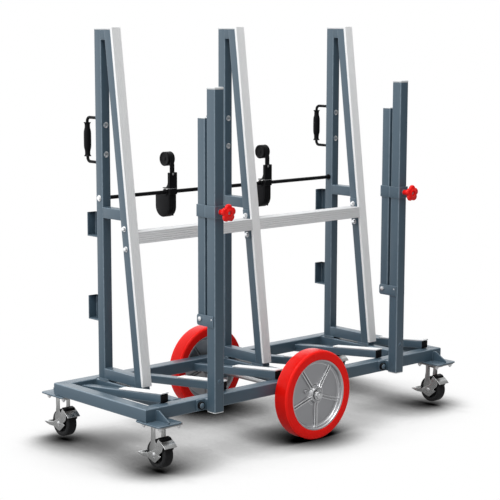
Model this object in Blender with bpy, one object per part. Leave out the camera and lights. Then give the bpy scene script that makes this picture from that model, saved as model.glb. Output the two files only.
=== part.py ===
"""Slab buggy: a cart that carries stone slabs on edge against three leaning A-frames.

X runs along the cart, Y across it and Z up, in metres. Slabs stand on the -Y side.
Shapes are worked out about the middle of the chassis, and one empty then moves the
whole cart so that the origin lies under the middle of its outline, on the floor.
"""

import math

import bmesh
import bpy

# Clearances and counts
fit_gap = 0.0003
overrun = 0.010
round_sides = 12
wheel_sides = 36
castor_sides = 20
corner_steps = 3
smooth_angle = math.radians(35)

# Chassis
chassis_length = 1.500
chassis_width = 0.530
rail_size = 0.045
rail_wall = 0.003
rail_top = 0.225

# Corner plates, gussets and what hangs the castors from them
plate_overhang = 0.007
plate_length = 0.107
plate_reach = 0.075
plate_width = 0.128
plate_thickness = 0.005
plate_corner = 0.012
gusset_thickness = 0.005
gusset_shoulder = 0.016
gusset_foot = 0.008
gusset_inset = 0.046
castor_plate_length = 0.104
castor_plate_width = 0.114
castor_plate_thickness = 0.006
race_radius = 0.033
race_height = 0.0065
kingpin_radius = 0.008
kingpin_nut = 0.013
kingpin_nut_height = 0.006

# Castors
castor_radius = 0.050
castor_width = 0.040
castor_clear = 0.016
castor_insets = (0.011, 0.0)
castor_trail = 0.008
castor_edge = 0.006
castor_hub_radius = 0.016
castor_rim_radius = 0.036
castor_dish = 0.004
castor_hub_stand = 0.0008
castor_axle_radius = 0.004
castor_nut = 0.0075
castor_nut_height = 0.005
crown_thickness = 0.004
crown_front = 0.030
crown_back = 0.036
fork_wall = 0.003
fork_column_shares = (-0.09, 0.42)
fork_shoulder_share = 0.84
fork_plate_shares = [(0.62, 0.36), (0.60, -0.10), (0.30, -0.44), (-0.06, -0.46), (-0.40, -0.10), (-0.56, 0.30),
                     (-0.22, 0.68)]

# Castor brakes
brake_wall = 0.0025
brake_pin_radius = 0.0035
brake_pin_drop = 0.013
brake_pin_head = 0.001
brake_travel_room = 0.002
brake_shoe_shares = [(-0.42, 1.08), (-0.92, 0.75), (-1.15, 0.54), (-1.19, 0.59), (-0.96, 0.81), (-0.45, 1.15)]
brake_cheek_shares = [(-0.44, 1.12), (-0.95, 0.78), (-0.89, 0.60), (-0.83, 0.33), (-0.46, 0.04), (-0.74, -0.02),
                      (-0.08, -0.58), (0.14, -0.54), (0.62, -0.34), (0.62, 0.05), (0.30, 0.16), (-0.12, 0.45),
                      (-0.20, 0.72)]
brake_arm_shares = [(0.50, 0.08), (0.50, -0.37), (1.24, -0.37), (1.24, 0.00)]
pedal_reach_share = 1.80
pedal_shares = [(1.16, 0.00), (1.60, -0.05), (pedal_reach_share, -0.12), (1.79, -0.18), (1.50, -0.30), (1.16, -0.37),
                (1.16, -0.31), (1.48, -0.24), (1.68, -0.15), (1.56, -0.11), (1.16, -0.06)]

# Cross members and the axle under the middle one
cross_wall = 0.003
hanger_spread = 0.190
hanger_length = 0.060
hanger_thickness = 0.010
hanger_lip = 0.012
axle_radius = 0.0125
stub_radius = 0.010
axle_nut = 0.016
axle_nut_height = 0.010
axle_washer = 0.018
axle_washer_height = 0.003

# Centre wheels
wheel_radius = 0.165
wheel_width = 0.0662
wheel_outer_face = 0.3325
tread_edge = 0.006
rim_radius = 0.131
rim_lip = 0.006
rim_lip_drop = 0.003
web_half = 0.005
hub_radius = 0.027
hub_drop = 0.007
rib_count = 5
rib_thickness = 0.004
rib_spacing = 0.015
rib_drop = 0.009

# A-frames
frame_pitch_share = 0.7693333
frame_top = 1.479
tube_size = 0.038
tube_wall = 0.003
post_face = 0.1657
head_gap_width = 0.0182
head_height = 0.035
lean = math.radians(7.2)
tie_height = 0.837
foot_plate_height = 0.007
foot_plate_front = 0.062
foot_plate_rear = 0.056
strip_thickness = 0.010
strip_width = 0.039
strip_cap = 0.009
pocket_heights = [0.441, 0.745]
pocket_tall = 0.086
pocket_depth = 0.055
pocket_wall = 0.004

# Middle rails
mid_rail_height = 0.758
mid_plate_tall = 0.110
mid_plate_wall = 0.004
mid_plate_inset = 0.004

# Support arms
arm_count = 6
first_arm_inset = 0.061
arm_width = 0.032
arm_tall = 0.030
arm_wall = 0.0025
arm_end_room = 0.0005
arm_front = 0.231
pad_thickness = 0.005
pad_rear = 0.0
cap_thickness = 0.006

# Rod and hook units
rod_radius = 0.007
rod_height = 0.887
rod_setback = 0.019
rod_end = 0.004
hook_place_shares = [-0.4783362, 0.3492201]
hook_width = 0.035
collar_radius = 0.0095
collar_length = 0.043
collar_lip = 0.003
block_front = 0.163
block_depth = 0.081
block_drop = 0.002
block_tall = 0.092
block_steps = 10
bracket_front = 0.158
bracket_depth = 0.0135
bracket_rise = 0.073
bracket_wall = 0.0035
bracket_flare = 0.010
bridge_thickness = 0.004
bridge_overhang = 0.007
pin_radius = 0.0022
lever_pin_y = 0.1664
lever_pin_rise = 0.063
lever_thickness = 0.008
lever_width = 0.019
lever_tail = 0.004
lever_head_y = 0.194
lever_head_rise = 0.1215
lever_head_radius = 0.0265
lever_head_width = 0.033

# Side posts
post_place_shares = [-0.6373333, 0.5827]
post_size = 0.042
post_wall = 0.003
post_standoff = 0.022
post_top = 1.285
post_cap = 0.008
post_cap_overhang = 0.0005
foot_plate_wide = 0.104
foot_plate_tall = 0.040
foot_plate_wall = 0.005
spacer_width = 0.030
pivot_low = 0.480
pivot_tall = 0.039
pivot_wall = 0.004
pivot_front_inset = 0.005
pivot_height = 0.503
pivot_reach = 0.048
pivot_pin_radius = 0.005
pivot_nut = 0.008
pivot_nut_height = 0.004

# Swinging upper arms, clamp saddles and star knobs
swing_gap = 0.012
swing_size = 0.038
swing_wall = 0.0025
swing_top = 1.190
swing_tail = 0.013
clamp_low = 0.8545
clamp_tall = 0.042
clamp_wall = 0.004
stirrup_rear = 0.003
saddle_lip = 0.008
knob_radius = 0.031
knob_thickness = 0.018
knob_lobe_depth = 0.006
knob_lobes = 5
knob_points = 30
knob_neck = 0.012
knob_neck_length = 0.030
knob_stem = 0.005
knob_height = 0.876
knob_hub = 0.013
knob_hub_height = 0.004
knob_bore = 0.005
knob_bore_depth = 0.008

# Bow handles
handle_low = 1.006
handle_high = 1.175
handle_reach = 0.072
handle_grip_radius = 0.0137
handle_strap = 0.011
handle_width = 0.018
handle_foot = 0.022
handle_grip_inset = 0.0235
handle_waist = 0.0025
handle_steps = 4

# Places worked out from the sizes above
rail_bottom = rail_top - rail_size
half_length = chassis_length / 2
half_width = chassis_width / 2
inner_length = half_length - rail_size
inner_width = half_width - rail_size
frame_pitch = half_length * frame_pitch_share
hook_places = [frame_pitch * share for share in hook_place_shares]
post_places = [half_length * share for share in post_place_shares]
castor_places = [half_length + plate_overhang - plate_length / 2 - inset for inset in castor_insets]
castor_y = half_width + plate_reach - plate_width / 2
castor_z = castor_radius + castor_clear
castor_plate_low = rail_bottom - plate_thickness - castor_plate_thickness
race_low = castor_plate_low - race_height
crown_top = race_low - fit_gap
crown_low = crown_top - crown_thickness
fork_inner = castor_width / 2 + castor_hub_stand + fit_gap
fork_outer = fork_inner + fork_wall
brake_inner = fork_outer + fit_gap
brake_outer = brake_inner + brake_wall
brake_z = castor_z - brake_pin_drop
axle_z = wheel_radius
wheel_inner_face = wheel_outer_face - wheel_width
post_back = post_face + tube_size
leg_depth = tube_size / math.cos(lean)
leg_top_front = post_face - head_gap_width - leg_depth
frame_low = rail_top + fit_gap + foot_plate_height
rod_y = post_face + rod_setback
arm_rise = (rail_top + fit_gap - rail_bottom) / (2 * inner_width)
arm_slope = math.atan(arm_rise)
arm_tall_up = arm_tall / math.cos(arm_slope)
pad_up = pad_thickness / math.cos(arm_slope)
last_arm = inner_length - arm_end_room - arm_width / 2
first_arm = first_arm_inset - inner_length
arm_pitch = (last_arm - first_arm) / (arm_count - 1)
block_top = rod_height - block_drop
block_bottom = block_top - block_tall
bracket_top = rod_height + bracket_rise
lever_pin_z = rod_height + lever_pin_rise
lever_head_z = rod_height + lever_head_rise
side_back = -half_width - post_standoff
side_front = side_back - post_size
swing_front = side_back + swing_gap
swing_back = swing_front + swing_size
pivot_y = (swing_front + swing_back) / 2
saddle_front = side_front - fit_gap - clamp_wall
clamp_split = side_back + swing_gap / 2
knob_face = saddle_front - knob_neck_length - knob_thickness
front_reach = knob_face - knob_hub_height
rear_reach = castor_y + castor_trail + castor_radius * pedal_reach_share
middle_shift = -(front_reach + rear_reach) / 2


class Form:
    """A set of closed shells that are joined into one solid, or cut from one."""

    def __init__(self):
        self.shells = []

    def shell(self, points, faces):
        mesh = bmesh.new()
        corners = [mesh.verts.new(point) for point in points]
        for face in faces:
            mesh.faces.new([corners[index] for index in face])
        bmesh.ops.recalc_face_normals(mesh, faces=mesh.faces)
        self.shells.append(mesh)

    def prism(self, outline, axis, start, end):
        """Carry a flat outline along an axis. Its points are the other two coordinates."""
        count = len(outline)
        points = [spot(axis, start, point) for point in outline]
        points += [spot(axis, end, point) for point in outline]
        faces = [list(range(count)), list(range(count, 2 * count))]
        for index in range(count):
            following = (index + 1) % count
            faces.append([index, following, count + following, count + index])
        self.shell(points, faces)

    def block(self, x_range, y_range, z_range):
        outline = [(x, y) for x, y in zip((x_range[0], x_range[1], x_range[1], x_range[0]),
                                          (y_range[0], y_range[0], y_range[1], y_range[1]))]
        self.prism(outline, "Z", z_range[0], z_range[1])

    def turned(self, profile, axis, centre, sides):
        """Turn a profile of (radius, place along the axis) about an axis through the centre.

        A profile that starts and ends on the axis is solid, and any other is a closed ring.
        A flat side lies at the bottom.
        """
        points = []
        rows = []
        for radius, along in profile:
            if radius == 0:
                rows.append([len(points)] * sides)
                points.append(spot(axis, along, centre))
                continue
            rows.append(list(range(len(points), len(points) + sides)))
            for side in range(sides):
                turn = 2 * math.pi * (side + 0.5) / sides
                ring = (centre[0] + radius * math.cos(turn), centre[1] + radius * math.sin(turn))
                points.append(spot(axis, along, ring))
        faces = []
        solid = profile[0][0] == 0
        for index in range(len(rows) - 1 if solid else len(rows)):
            one = rows[index]
            two = rows[(index + 1) % len(rows)]
            for side in range(sides):
                after = (side + 1) % sides
                face = []
                for corner in (one[side], one[after], two[after], two[side]):
                    if corner not in face:
                        face.append(corner)
                if len(face) > 2:
                    faces.append(face)
        self.shell(points, faces)

    def rod(self, radius, axis, centre, start, end, sides=round_sides):
        self.turned([(0, start), (radius, start), (radius, end), (0, end)], axis, centre, sides)

    def hexagon(self, radius, axis, centre, start, end):
        self.turned([(0, start), (radius, start), (radius, end), (0, end)], axis, centre, 6)


def spot(axis, along, pair):
    """A point from its place along an axis and its other two coordinates, in X, Y, Z order."""
    if axis == "X":
        return (along, pair[0], pair[1])
    if axis == "Y":
        return (pair[0], along, pair[1])
    return (pair[0], pair[1], along)


def hole(radius, sides=round_sides):
    """The radius of a many-sided hole whose flats clear a round of the given radius."""
    return (radius + fit_gap) / math.cos(math.pi / sides)


def rounded(corners, radius, steps=corner_steps):
    """An outline with each corner replaced by an arc of the radius."""
    outline = []
    count = len(corners)
    for index in range(count):
        before = corners[index - 1]
        corner = corners[index]
        after = corners[(index + 1) % count]
        first = (before[0] - corner[0], before[1] - corner[1])
        second = (after[0] - corner[0], after[1] - corner[1])
        one = math.hypot(*first)
        two = math.hypot(*second)
        first = (first[0] / one, first[1] / one)
        second = (second[0] / two, second[1] / two)
        half = math.acos(first[0] * second[0] + first[1] * second[1]) / 2
        reach = min(radius / math.tan(half), one / 2, two / 2)
        bend = reach * math.tan(half)
        middle = ((first[0] + second[0]), (first[1] + second[1]))
        size = math.hypot(*middle)
        far = math.hypot(reach, bend)
        centre = (corner[0] + middle[0] / size * far, corner[1] + middle[1] / size * far)
        start = math.atan2(corner[1] + first[1] * reach - centre[1], corner[0] + first[0] * reach - centre[0])
        end = math.atan2(corner[1] + second[1] * reach - centre[1], corner[0] + second[0] * reach - centre[0])
        sweep = (end - start + math.pi) % (2 * math.pi) - math.pi
        for step in range(steps + 1):
            turn = start + sweep * step / steps
            outline.append((centre[0] + bend * math.cos(turn), centre[1] + bend * math.sin(turn)))
    return outline


def rectangle(across, up):
    return [(across[0], up[0]), (across[1], up[0]), (across[1], up[1]), (across[0], up[1])]


def arc(centre, radius, start, end, steps):
    turns = [start + (end - start) * step / steps for step in range(steps + 1)]
    return [(centre[0] + radius * math.cos(turn), centre[1] + radius * math.sin(turn)) for turn in turns]


def material(name, colour, roughness, metallic=0.0):
    paint = bpy.data.materials.new(name)
    paint.use_nodes = True
    shader = paint.node_tree.nodes["Principled BSDF"]
    shader.inputs["Base Color"].default_value = (*colour, 1.0)
    shader.inputs["Roughness"].default_value = roughness
    shader.inputs["Metallic"].default_value = metallic
    return paint


pivots = {}


def mesh_object(name, shells, pivot):
    """One mesh object from a list of shells, with its origin at the pivot."""
    joined = bmesh.new()
    for shell in shells:
        part_mesh = bpy.data.meshes.new(name)
        shell.to_mesh(part_mesh)
        joined.from_mesh(part_mesh)
        bpy.data.meshes.remove(part_mesh)
    bmesh.ops.translate(joined, verts=joined.verts, vec=[-value for value in pivot])
    mesh = bpy.data.meshes.new(name)
    joined.to_mesh(mesh)
    joined.free()
    mesh.shade_smooth()
    mesh.set_sharp_from_angle(angle=smooth_angle)
    thing = bpy.data.objects.new(name, mesh)
    bpy.context.scene.collection.objects.link(thing)
    return thing


def helper(name, shells, pivot, owner, operation):
    tool = mesh_object(name, shells, pivot)
    tool.hide_render = True
    tool.display_type = "WIRE"
    tool.parent = owner
    change = owner.modifiers.new(name, "BOOLEAN")
    change.operation = operation
    change.solver = "EXACT"
    change.use_self = True
    change.object = tool


def piece(name, paint, form, cuts=None, pivot=(0, 0, 0), parent=None):
    """Make one sub-part: its first shell, joined with the others and cut by the cuts."""
    parent = parent or cart
    thing = mesh_object(name, form.shells[:1], pivot)
    thing.data.materials.append(paint)
    thing.parent = parent
    base = pivots[parent.name]
    thing.location = [place - under for place, under in zip(pivot, base)]
    pivots[name] = pivot
    if len(form.shells) > 1:
        helper(name + "_joined", form.shells[1:], pivot, thing, "UNION")
    if cuts:
        helper(name + "_cut", cuts.shells, pivot, thing, "DIFFERENCE")
    return thing


def castor_mount(form, side_x, side_y):
    """Corner plate, gusset, castor plate, race and kingpin under one end of a rail."""
    end = side_x * (half_length + plate_overhang)
    inner = side_x * (half_length + plate_overhang - plate_length)
    out = side_y * (half_width + plate_reach)
    back = side_y * (half_width + plate_reach - plate_width)
    corners = rectangle((min(end, inner), max(end, inner)), (min(out, back), max(out, back)))
    form.prism(rounded(corners, plate_corner), "Z", rail_bottom - plate_thickness, rail_bottom)
    gusset_x = side_x * (half_length - gusset_inset)
    face = side_y * (half_width - rail_wall)
    shoulder = side_y * (half_width + gusset_shoulder)
    edge = side_y * (half_width + plate_reach - gusset_foot)
    outline = [(face, rail_bottom), (edge, rail_bottom), (edge, rail_bottom + gusset_foot),
               (shoulder, rail_top - gusset_foot), (face, rail_top - gusset_foot)]
    form.prism(outline, "X", gusset_x - gusset_thickness / 2, gusset_x + gusset_thickness / 2)
    middle = (side_x * castor_places[side_x > 0], side_y * castor_y)
    across = (middle[0] - castor_plate_length / 2, middle[0] + castor_plate_length / 2)
    along = (middle[1] - castor_plate_width / 2, middle[1] + castor_plate_width / 2)
    plate = rounded(rectangle(across, along), plate_corner)
    form.prism(plate, "Z", castor_plate_low, rail_bottom - plate_thickness)
    nut_top = crown_low - fit_gap
    form.turned([(0, castor_plate_low), (race_radius, castor_plate_low), (race_radius, race_low),
                 (kingpin_radius, race_low), (kingpin_radius, nut_top), (kingpin_nut, nut_top),
                 (kingpin_nut, nut_top - kingpin_nut_height), (0, nut_top - kingpin_nut_height)],
                "Z", middle, round_sides)


def long_rail(name, side_y):
    """Front or rear rail: a mitred tube with a castor mount under each end."""
    form = Form()
    cuts = Form()
    outer = side_y * half_width
    inner = side_y * inner_width
    half = half_length - fit_gap * math.sqrt(2)
    outline = [(-half, outer), (half, outer), (half - rail_size, inner), (-half + rail_size, inner)]
    form.prism(outline, "Z", rail_bottom, rail_top)
    for side_x in (-1, 1):
        castor_mount(form, side_x, side_y)
    wall = side_y * rail_wall
    cuts.block((-half_length - overrun, half_length + overrun), sorted((inner + wall, outer - wall)),
               (rail_bottom + rail_wall, rail_top - rail_wall))
    piece(name, frame_paint, form, cuts)


def end_rail(name, side_x):
    form = Form()
    cuts = Form()
    outer = side_x * half_length
    inner = side_x * inner_length
    outline = [(outer, -half_width), (outer, half_width), (inner, inner_width), (inner, -inner_width)]
    form.prism(outline, "Z", rail_bottom + fit_gap, rail_top)
    wall = side_x * rail_wall
    cuts.block(sorted((inner + wall, outer - wall)), (-half_width - overrun, half_width + overrun),
               (rail_bottom + rail_wall, rail_top - rail_wall))
    piece(name, frame_paint, form, cuts)


def cross_member(name, x, carries_axle):
    """A tube across the chassis under an A-frame. The middle one carries the axle hangers."""
    form = Form()
    cuts = Form()
    half = tube_size / 2
    reach = inner_width - fit_gap
    form.block((x - half, x + half), (-reach, reach), (rail_bottom, rail_top))
    inner = half - cross_wall
    cuts.block((x - inner, x + inner), (-half_width, half_width), (rail_bottom + cross_wall, rail_top - cross_wall))
    if carries_axle:
        for side in (-1, 1):
            middle = side * hanger_spread
            low = axle_z - axle_radius - hanger_lip
            faces = (middle - hanger_thickness / 2, middle + hanger_thickness / 2)
            form.block((x - hanger_length / 2, x + hanger_length / 2), faces, (low, rail_bottom))
            form.block((x - half, x + half), faces, (rail_bottom - hanger_lip / 2, rail_bottom + cross_wall / 2))
        cuts.rod(hole(axle_radius), "Y", (x, axle_z), -half_width, half_width)
    piece(name, frame_paint, form, cuts)


def leg_front(z):
    """Y of the leg's leaning front face at a height."""
    return leg_top_front - (frame_top - z) * math.tan(lean)


def leg_slice(front, back, low, high):
    """A leaning outline between two offsets behind the leg's front face."""
    return [(leg_front(low) + front, low), (leg_front(low) + back, low),
            (leg_front(high) + back, high), (leg_front(high) + front, high)]


def a_frame(name, x, has_pockets):
    """Post, leaning leg, head block, tie and bottom tube, all hollow and open at the feet."""
    form = Form()
    cuts = Form()
    half = tube_size / 2
    sides = (x - half, x + half)
    core = (x - half + tube_wall, x + half - tube_wall)
    wall = tube_wall
    tie_low = tie_height - half
    tie_high = tie_height + half
    bottom_high = frame_low + tube_size
    slant = wall / math.cos(lean)
    form.block(sides, (post_face, post_back), (frame_low, frame_top))
    form.prism(leg_slice(0, leg_depth, frame_low, frame_top), "X", *sides)
    form.block(sides, (leg_front(frame_top) + leg_depth / 2, post_face + wall), (frame_top - head_height, frame_top))
    form.block(sides, (leg_front(tie_low) + leg_depth / 2, post_face + wall), (tie_low, tie_high))
    form.block(sides, (leg_front(frame_low) + leg_depth / 2, post_face + wall), (frame_low, bottom_high))
    plate_low = rail_top + fit_gap
    leg_foot = leg_front(frame_low)
    form.block(sides, (leg_foot, leg_foot + foot_plate_front), (plate_low, frame_low + wall / 2))
    form.block(sides, (post_back - foot_plate_rear, post_back), (plate_low, frame_low + wall / 2))
    cuts.block(core, (post_face + wall, post_back - wall), (plate_low - overrun, frame_top - wall))
    low = plate_low - overrun
    cuts.prism(leg_slice(slant, leg_depth - slant, low, frame_top - wall), "X", *core)
    cuts.block(core, (leg_front(tie_low) + leg_depth / 2, post_face + tube_size / 2),
               (tie_low + wall, tie_high - wall))
    cuts.block(core, (leg_front(frame_low) + leg_depth / 2, post_face + tube_size / 2),
               (frame_low + wall, bottom_high - wall))
    cuts.rod(hole(rod_radius), "X", (rod_y, rod_height), x - tube_size, x + tube_size)
    if has_pockets:
        back = post_back + pocket_depth
        for height in pocket_heights:
            top = height + pocket_tall
            form.block(sides, (back - pocket_wall, back), (height, top))
            form.block((x + half - pocket_wall, x + half), (post_back - wall / 2, back), (height, top))
            form.block(sides, (post_back - wall / 2, back), (height, height + pocket_wall))
    piece(name, frame_paint, form, cuts)


def leg_rubber(name, x):
    """A rubber strip on a leg's leaning face, folded back over the tops of the leg and post."""
    form = Form()
    front = -fit_gap - strip_thickness / math.cos(lean)
    top = frame_top + strip_cap
    sides = (x - strip_width / 2, x + strip_width / 2)
    outline = leg_slice(front, -fit_gap, frame_low + foot_plate_height, top)
    form.prism(outline, "X", *sides)
    form.block(sides, (leg_front(top) - strip_thickness / 2, post_back), (frame_top + fit_gap, top))
    piece(name, rubber, form)


def mid_rail(name, start, end):
    """A rail between two legs, with an end plate bolted to each leg's side."""
    form = Form()
    cuts = Form()
    low = mid_rail_height - tube_size / 2
    high = mid_rail_height + tube_size / 2
    slant = tube_wall / math.cos(lean)
    form.prism(leg_slice(0, leg_depth, low, high), "X", start, end)
    plate_low = mid_rail_height - mid_plate_tall / 2
    plate_high = mid_rail_height + mid_plate_tall / 2
    plate = leg_slice(mid_plate_inset, leg_depth - mid_plate_inset, plate_low, plate_high)
    form.prism(plate, "X", start, start + mid_plate_wall)
    form.prism(plate, "X", end - mid_plate_wall, end)
    cuts.prism(leg_slice(slant, leg_depth - slant, low + tube_wall, high - tube_wall), "X",
               start - overrun, end + overrun)
    piece(name, frame_paint, form, cuts)


def arm_under(y):
    """Height of a support arm's underside at a place across the cart."""
    return rail_bottom + (inner_width - y) * arm_rise


def arm_slice(front, back, low, high):
    """A sloping outline between two heights above the arm's underside."""
    return [(front, arm_under(front) + low), (back, arm_under(back) + low),
            (back, arm_under(back) + high), (front, arm_under(front) + high)]


def support_arm(number):
    """A sloping tube that rests on the front rail and meets the rear rail's inner face."""
    x = last_arm - (arm_count - number) * arm_pitch
    sides = (x - arm_width / 2, x + arm_width / 2)
    form = Form()
    cuts = Form()
    rear = inner_width - fit_gap
    form.prism(arm_slice(-arm_front, rear, fit_gap, arm_tall_up), "X", *sides)
    inner = (sides[0] + arm_wall, sides[1] - arm_wall)
    cuts.prism(arm_slice(-arm_front - overrun, rear + overrun, arm_wall, arm_tall_up - arm_wall), "X", *inner)
    piece(f"support_arm_{number}", frame_paint, form, cuts)
    pad = Form()
    top = arm_tall_up + fit_gap
    pad.prism(arm_slice(-arm_front - fit_gap, pad_rear, top, top + pad_up), "X", *sides)
    nose = arm_slice(-arm_front - fit_gap - cap_thickness, -arm_front - fit_gap, fit_gap, top + pad_up)
    pad.prism(nose, "X", *sides)
    piece(f"arm_pad_{number}", rubber, pad)


def cross_rod():
    form = Form()
    end = frame_pitch + tube_size / 2 + rod_end
    form.rod(rod_radius, "X", (rod_y, rod_height), -end, end)
    piece("cross_rod", black, form)


def hook_unit(number, x):
    """A collar on the rod, a block that swings on the collar and a lever in its bracket."""
    rod_centre = (rod_y, rod_height)
    collar = Form()
    half = collar_length / 2
    bore = hole(rod_radius)
    lip = collar_radius + collar_lip
    edge = hook_width / 2 + fit_gap
    collar.turned([(bore, x - half), (lip, x - half), (lip, x - edge), (collar_radius, x - edge),
                   (collar_radius, x + edge), (lip, x + edge), (lip, x + half), (bore, x + half)],
                  "X", rod_centre, round_sides)
    slider = piece(f"hook_collar_{number}", black, collar, pivot=(x, rod_y, rod_height))

    sides = (x - hook_width / 2, x + hook_width / 2)
    block = Form()
    cuts = Form()
    radius = block_depth / 2
    centre = (block_front + radius, block_bottom + radius)
    outline = [(block_front, block_top), (block_front + block_depth, block_top)]
    outline += arc(centre, radius, 0, -math.pi, block_steps)
    block.prism(outline, "X", *sides)
    seat = rod_height + collar_radius + collar_lip
    block.block(sides, (bracket_front, rod_y), (block_top - bracket_depth / 2, seat + bridge_thickness))
    block.block(sides, (bracket_front, rod_y + collar_radius + bridge_overhang), (seat, seat + bridge_thickness))
    block.block(sides, (bracket_front, bracket_front + bracket_wall), (seat, bracket_top))
    rear = bracket_front + bracket_depth
    cheek = [(bracket_front, seat), (rear + bracket_flare, seat), (rear + bracket_flare, seat + bracket_flare / 2),
             (rear, seat + 2 * bracket_flare), (rear, bracket_top), (bracket_front, bracket_top)]
    block.prism(cheek, "X", sides[0], sides[0] + bracket_wall)
    block.prism(cheek, "X", sides[1] - bracket_wall, sides[1])
    block.rod(pin_radius, "X", (lever_pin_y, lever_pin_z), *sides, sides=round_sides)
    cuts.rod(hole(collar_radius), "X", rod_centre, x - hook_width, x + hook_width)
    swing = piece(f"hook_block_{number}", black, block, cuts, pivot=(x, rod_y, rod_height), parent=slider)

    lever = Form()
    bore_cut = Form()
    inner = lever_width / 2
    front = lever_pin_y - lever_thickness / 2
    back = lever_pin_y + lever_thickness / 2
    strap = rounded(rectangle((front, back), (lever_pin_z - lever_tail, lever_head_z)), lever_thickness / 2 - fit_gap)
    lever.prism(strap, "X", x - inner, x + inner)
    wide = lever_head_width / 2
    lever.turned([(0, x - wide), (lever_head_radius - lever_thickness / 2, x - wide),
                  (lever_head_radius, x - wide + lever_thickness / 4),
                  (lever_head_radius, x + wide - lever_thickness / 4),
                  (lever_head_radius - lever_thickness / 2, x + wide), (0, x + wide)],
                 "X", (lever_head_y, lever_head_z), castor_sides)
    bore_cut.rod(hole(pin_radius), "X", (lever_pin_y, lever_pin_z), x - hook_width, x + hook_width)
    piece(f"hook_lever_{number}", black, lever, bore_cut, pivot=(x, lever_pin_y, lever_pin_z), parent=swing)


def side_post(side, x):
    """A fixed post on the front rail, with its foot plate and the pivot bracket."""
    form = Form()
    cuts = Form()
    half = post_size / 2
    form.block((x - half, x + half), (side_front, side_back), (rail_bottom, post_top))
    cap = half + post_cap_overhang
    form.block((x - cap, x + cap), (side_front - post_cap_overhang, side_back + post_cap_overhang),
               (post_top - post_wall, post_top + post_cap))
    rail_face = -half_width - fit_gap
    middle = (rail_bottom + rail_top) / 2
    plate_z = (middle - foot_plate_tall / 2, middle + foot_plate_tall / 2)
    form.block((x - foot_plate_wide / 2, x + foot_plate_wide / 2), (rail_face - foot_plate_wall, rail_face), plate_z)
    form.block((x - spacer_width / 2, x + spacer_width / 2), (side_back - post_wall / 2, rail_face - foot_plate_wall / 2),
               plate_z)
    inner = half + pivot_wall
    pivot_top = pivot_low + pivot_tall
    form.block((x - inner, x + inner), (side_front + pivot_front_inset, side_back), (pivot_low, pivot_top))
    ear = rounded([(side_back - pivot_wall, pivot_low), (side_back + pivot_reach, pivot_low),
                   (side_back + pivot_reach, pivot_top), (side_back - pivot_wall, pivot_top)], pivot_tall / 4)
    form.prism(ear, "X", x - inner, x - half - fit_gap)
    form.prism(ear, "X", x + half + fit_gap, x + inner)
    form.rod(pivot_pin_radius, "X", (pivot_y, pivot_height), x - inner, x + inner)
    for one in (-1, 1):
        spots = sorted((x + one * (inner - pivot_wall / 2), x + one * (inner + pivot_nut_height)))
        form.hexagon(pivot_nut, "X", (pivot_y, pivot_height), *spots)
    core = half - post_wall
    cuts.block((x - core, x + core), (side_front + post_wall, side_back - post_wall),
               (rail_bottom - overrun, post_top - post_wall))
    post = piece(f"side_post_{side}", frame_paint, form, cuts)

    arm = Form()
    arm_cuts = Form()
    half = swing_size / 2
    arm.block((x - half, x + half), (swing_front, swing_back), (pivot_height - swing_tail, swing_top))
    clamp_z = (clamp_low, clamp_low + clamp_tall)
    wide = half + clamp_wall
    front = clamp_split + fit_gap
    rear = swing_back + stirrup_rear
    arm.block((x - wide, x - half + swing_wall), (front, rear), clamp_z)
    arm.block((x + half - swing_wall, x + wide), (front, rear), clamp_z)
    arm.block((x - wide, x + wide), (swing_back - swing_wall, rear), clamp_z)
    core = half - swing_wall
    arm_cuts.block((x - core, x + core), (swing_front + swing_wall, swing_back - swing_wall),
                   (pivot_height - swing_tail - overrun, swing_top - swing_wall))
    arm_cuts.rod(hole(pivot_pin_radius), "X", (pivot_y, pivot_height), x - post_size, x + post_size)
    piece(f"swing_arm_{side}", frame_paint, arm, arm_cuts, pivot=(x, pivot_y, pivot_height), parent=post)

    saddle = Form()
    saddle_cuts = Form()
    half = post_size / 2 + fit_gap
    wide = half + clamp_wall
    rear = clamp_split
    saddle.block((x - wide, x + wide), (saddle_front, side_front - fit_gap), clamp_z)
    saddle.block((x - wide, x - half), (saddle_front, rear), clamp_z)
    saddle.block((x + half, x + wide), (saddle_front, rear), clamp_z)
    lip_y = (side_back + fit_gap, rear)
    saddle.block((x - wide, x - half + saddle_lip), lip_y, clamp_z)
    saddle.block((x + half - saddle_lip, x + wide), lip_y, clamp_z)
    saddle_cuts.rod(hole(knob_stem), "Y", (x, knob_height), saddle_front - overrun, side_front + overrun)
    clamp = piece(f"clamp_saddle_{side}", frame_paint, saddle, saddle_cuts,
                  pivot=(x, side_front, knob_height), parent=post)

    knob = Form()
    knob_cuts = Form()
    back = saddle_front - knob_neck_length
    outline = []
    for index in range(knob_points):
        turn = 2 * math.pi * index / knob_points
        radius = knob_radius - knob_lobe_depth * (1 - math.cos(knob_lobes * (turn - math.pi / 2))) / 2
        outline.append((x + radius * math.cos(turn), knob_height + radius * math.sin(turn)))
    knob.prism(outline, "Y", knob_face, back)
    knob.turned([(0, front_reach), (knob_hub, front_reach), (knob_hub, back), (knob_neck, back),
                 (knob_neck, saddle_front - fit_gap), (knob_stem, saddle_front - fit_gap),
                 (knob_stem, side_front - fit_gap), (0, side_front - fit_gap)],
                "Y", (x, knob_height), round_sides)
    knob_cuts.rod(knob_bore, "Y", (x, knob_height), front_reach - overrun, front_reach + knob_bore_depth)
    piece(f"star_knob_{side}", red, knob, knob_cuts, pivot=(x, knob_face, knob_height), parent=clamp)


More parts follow.
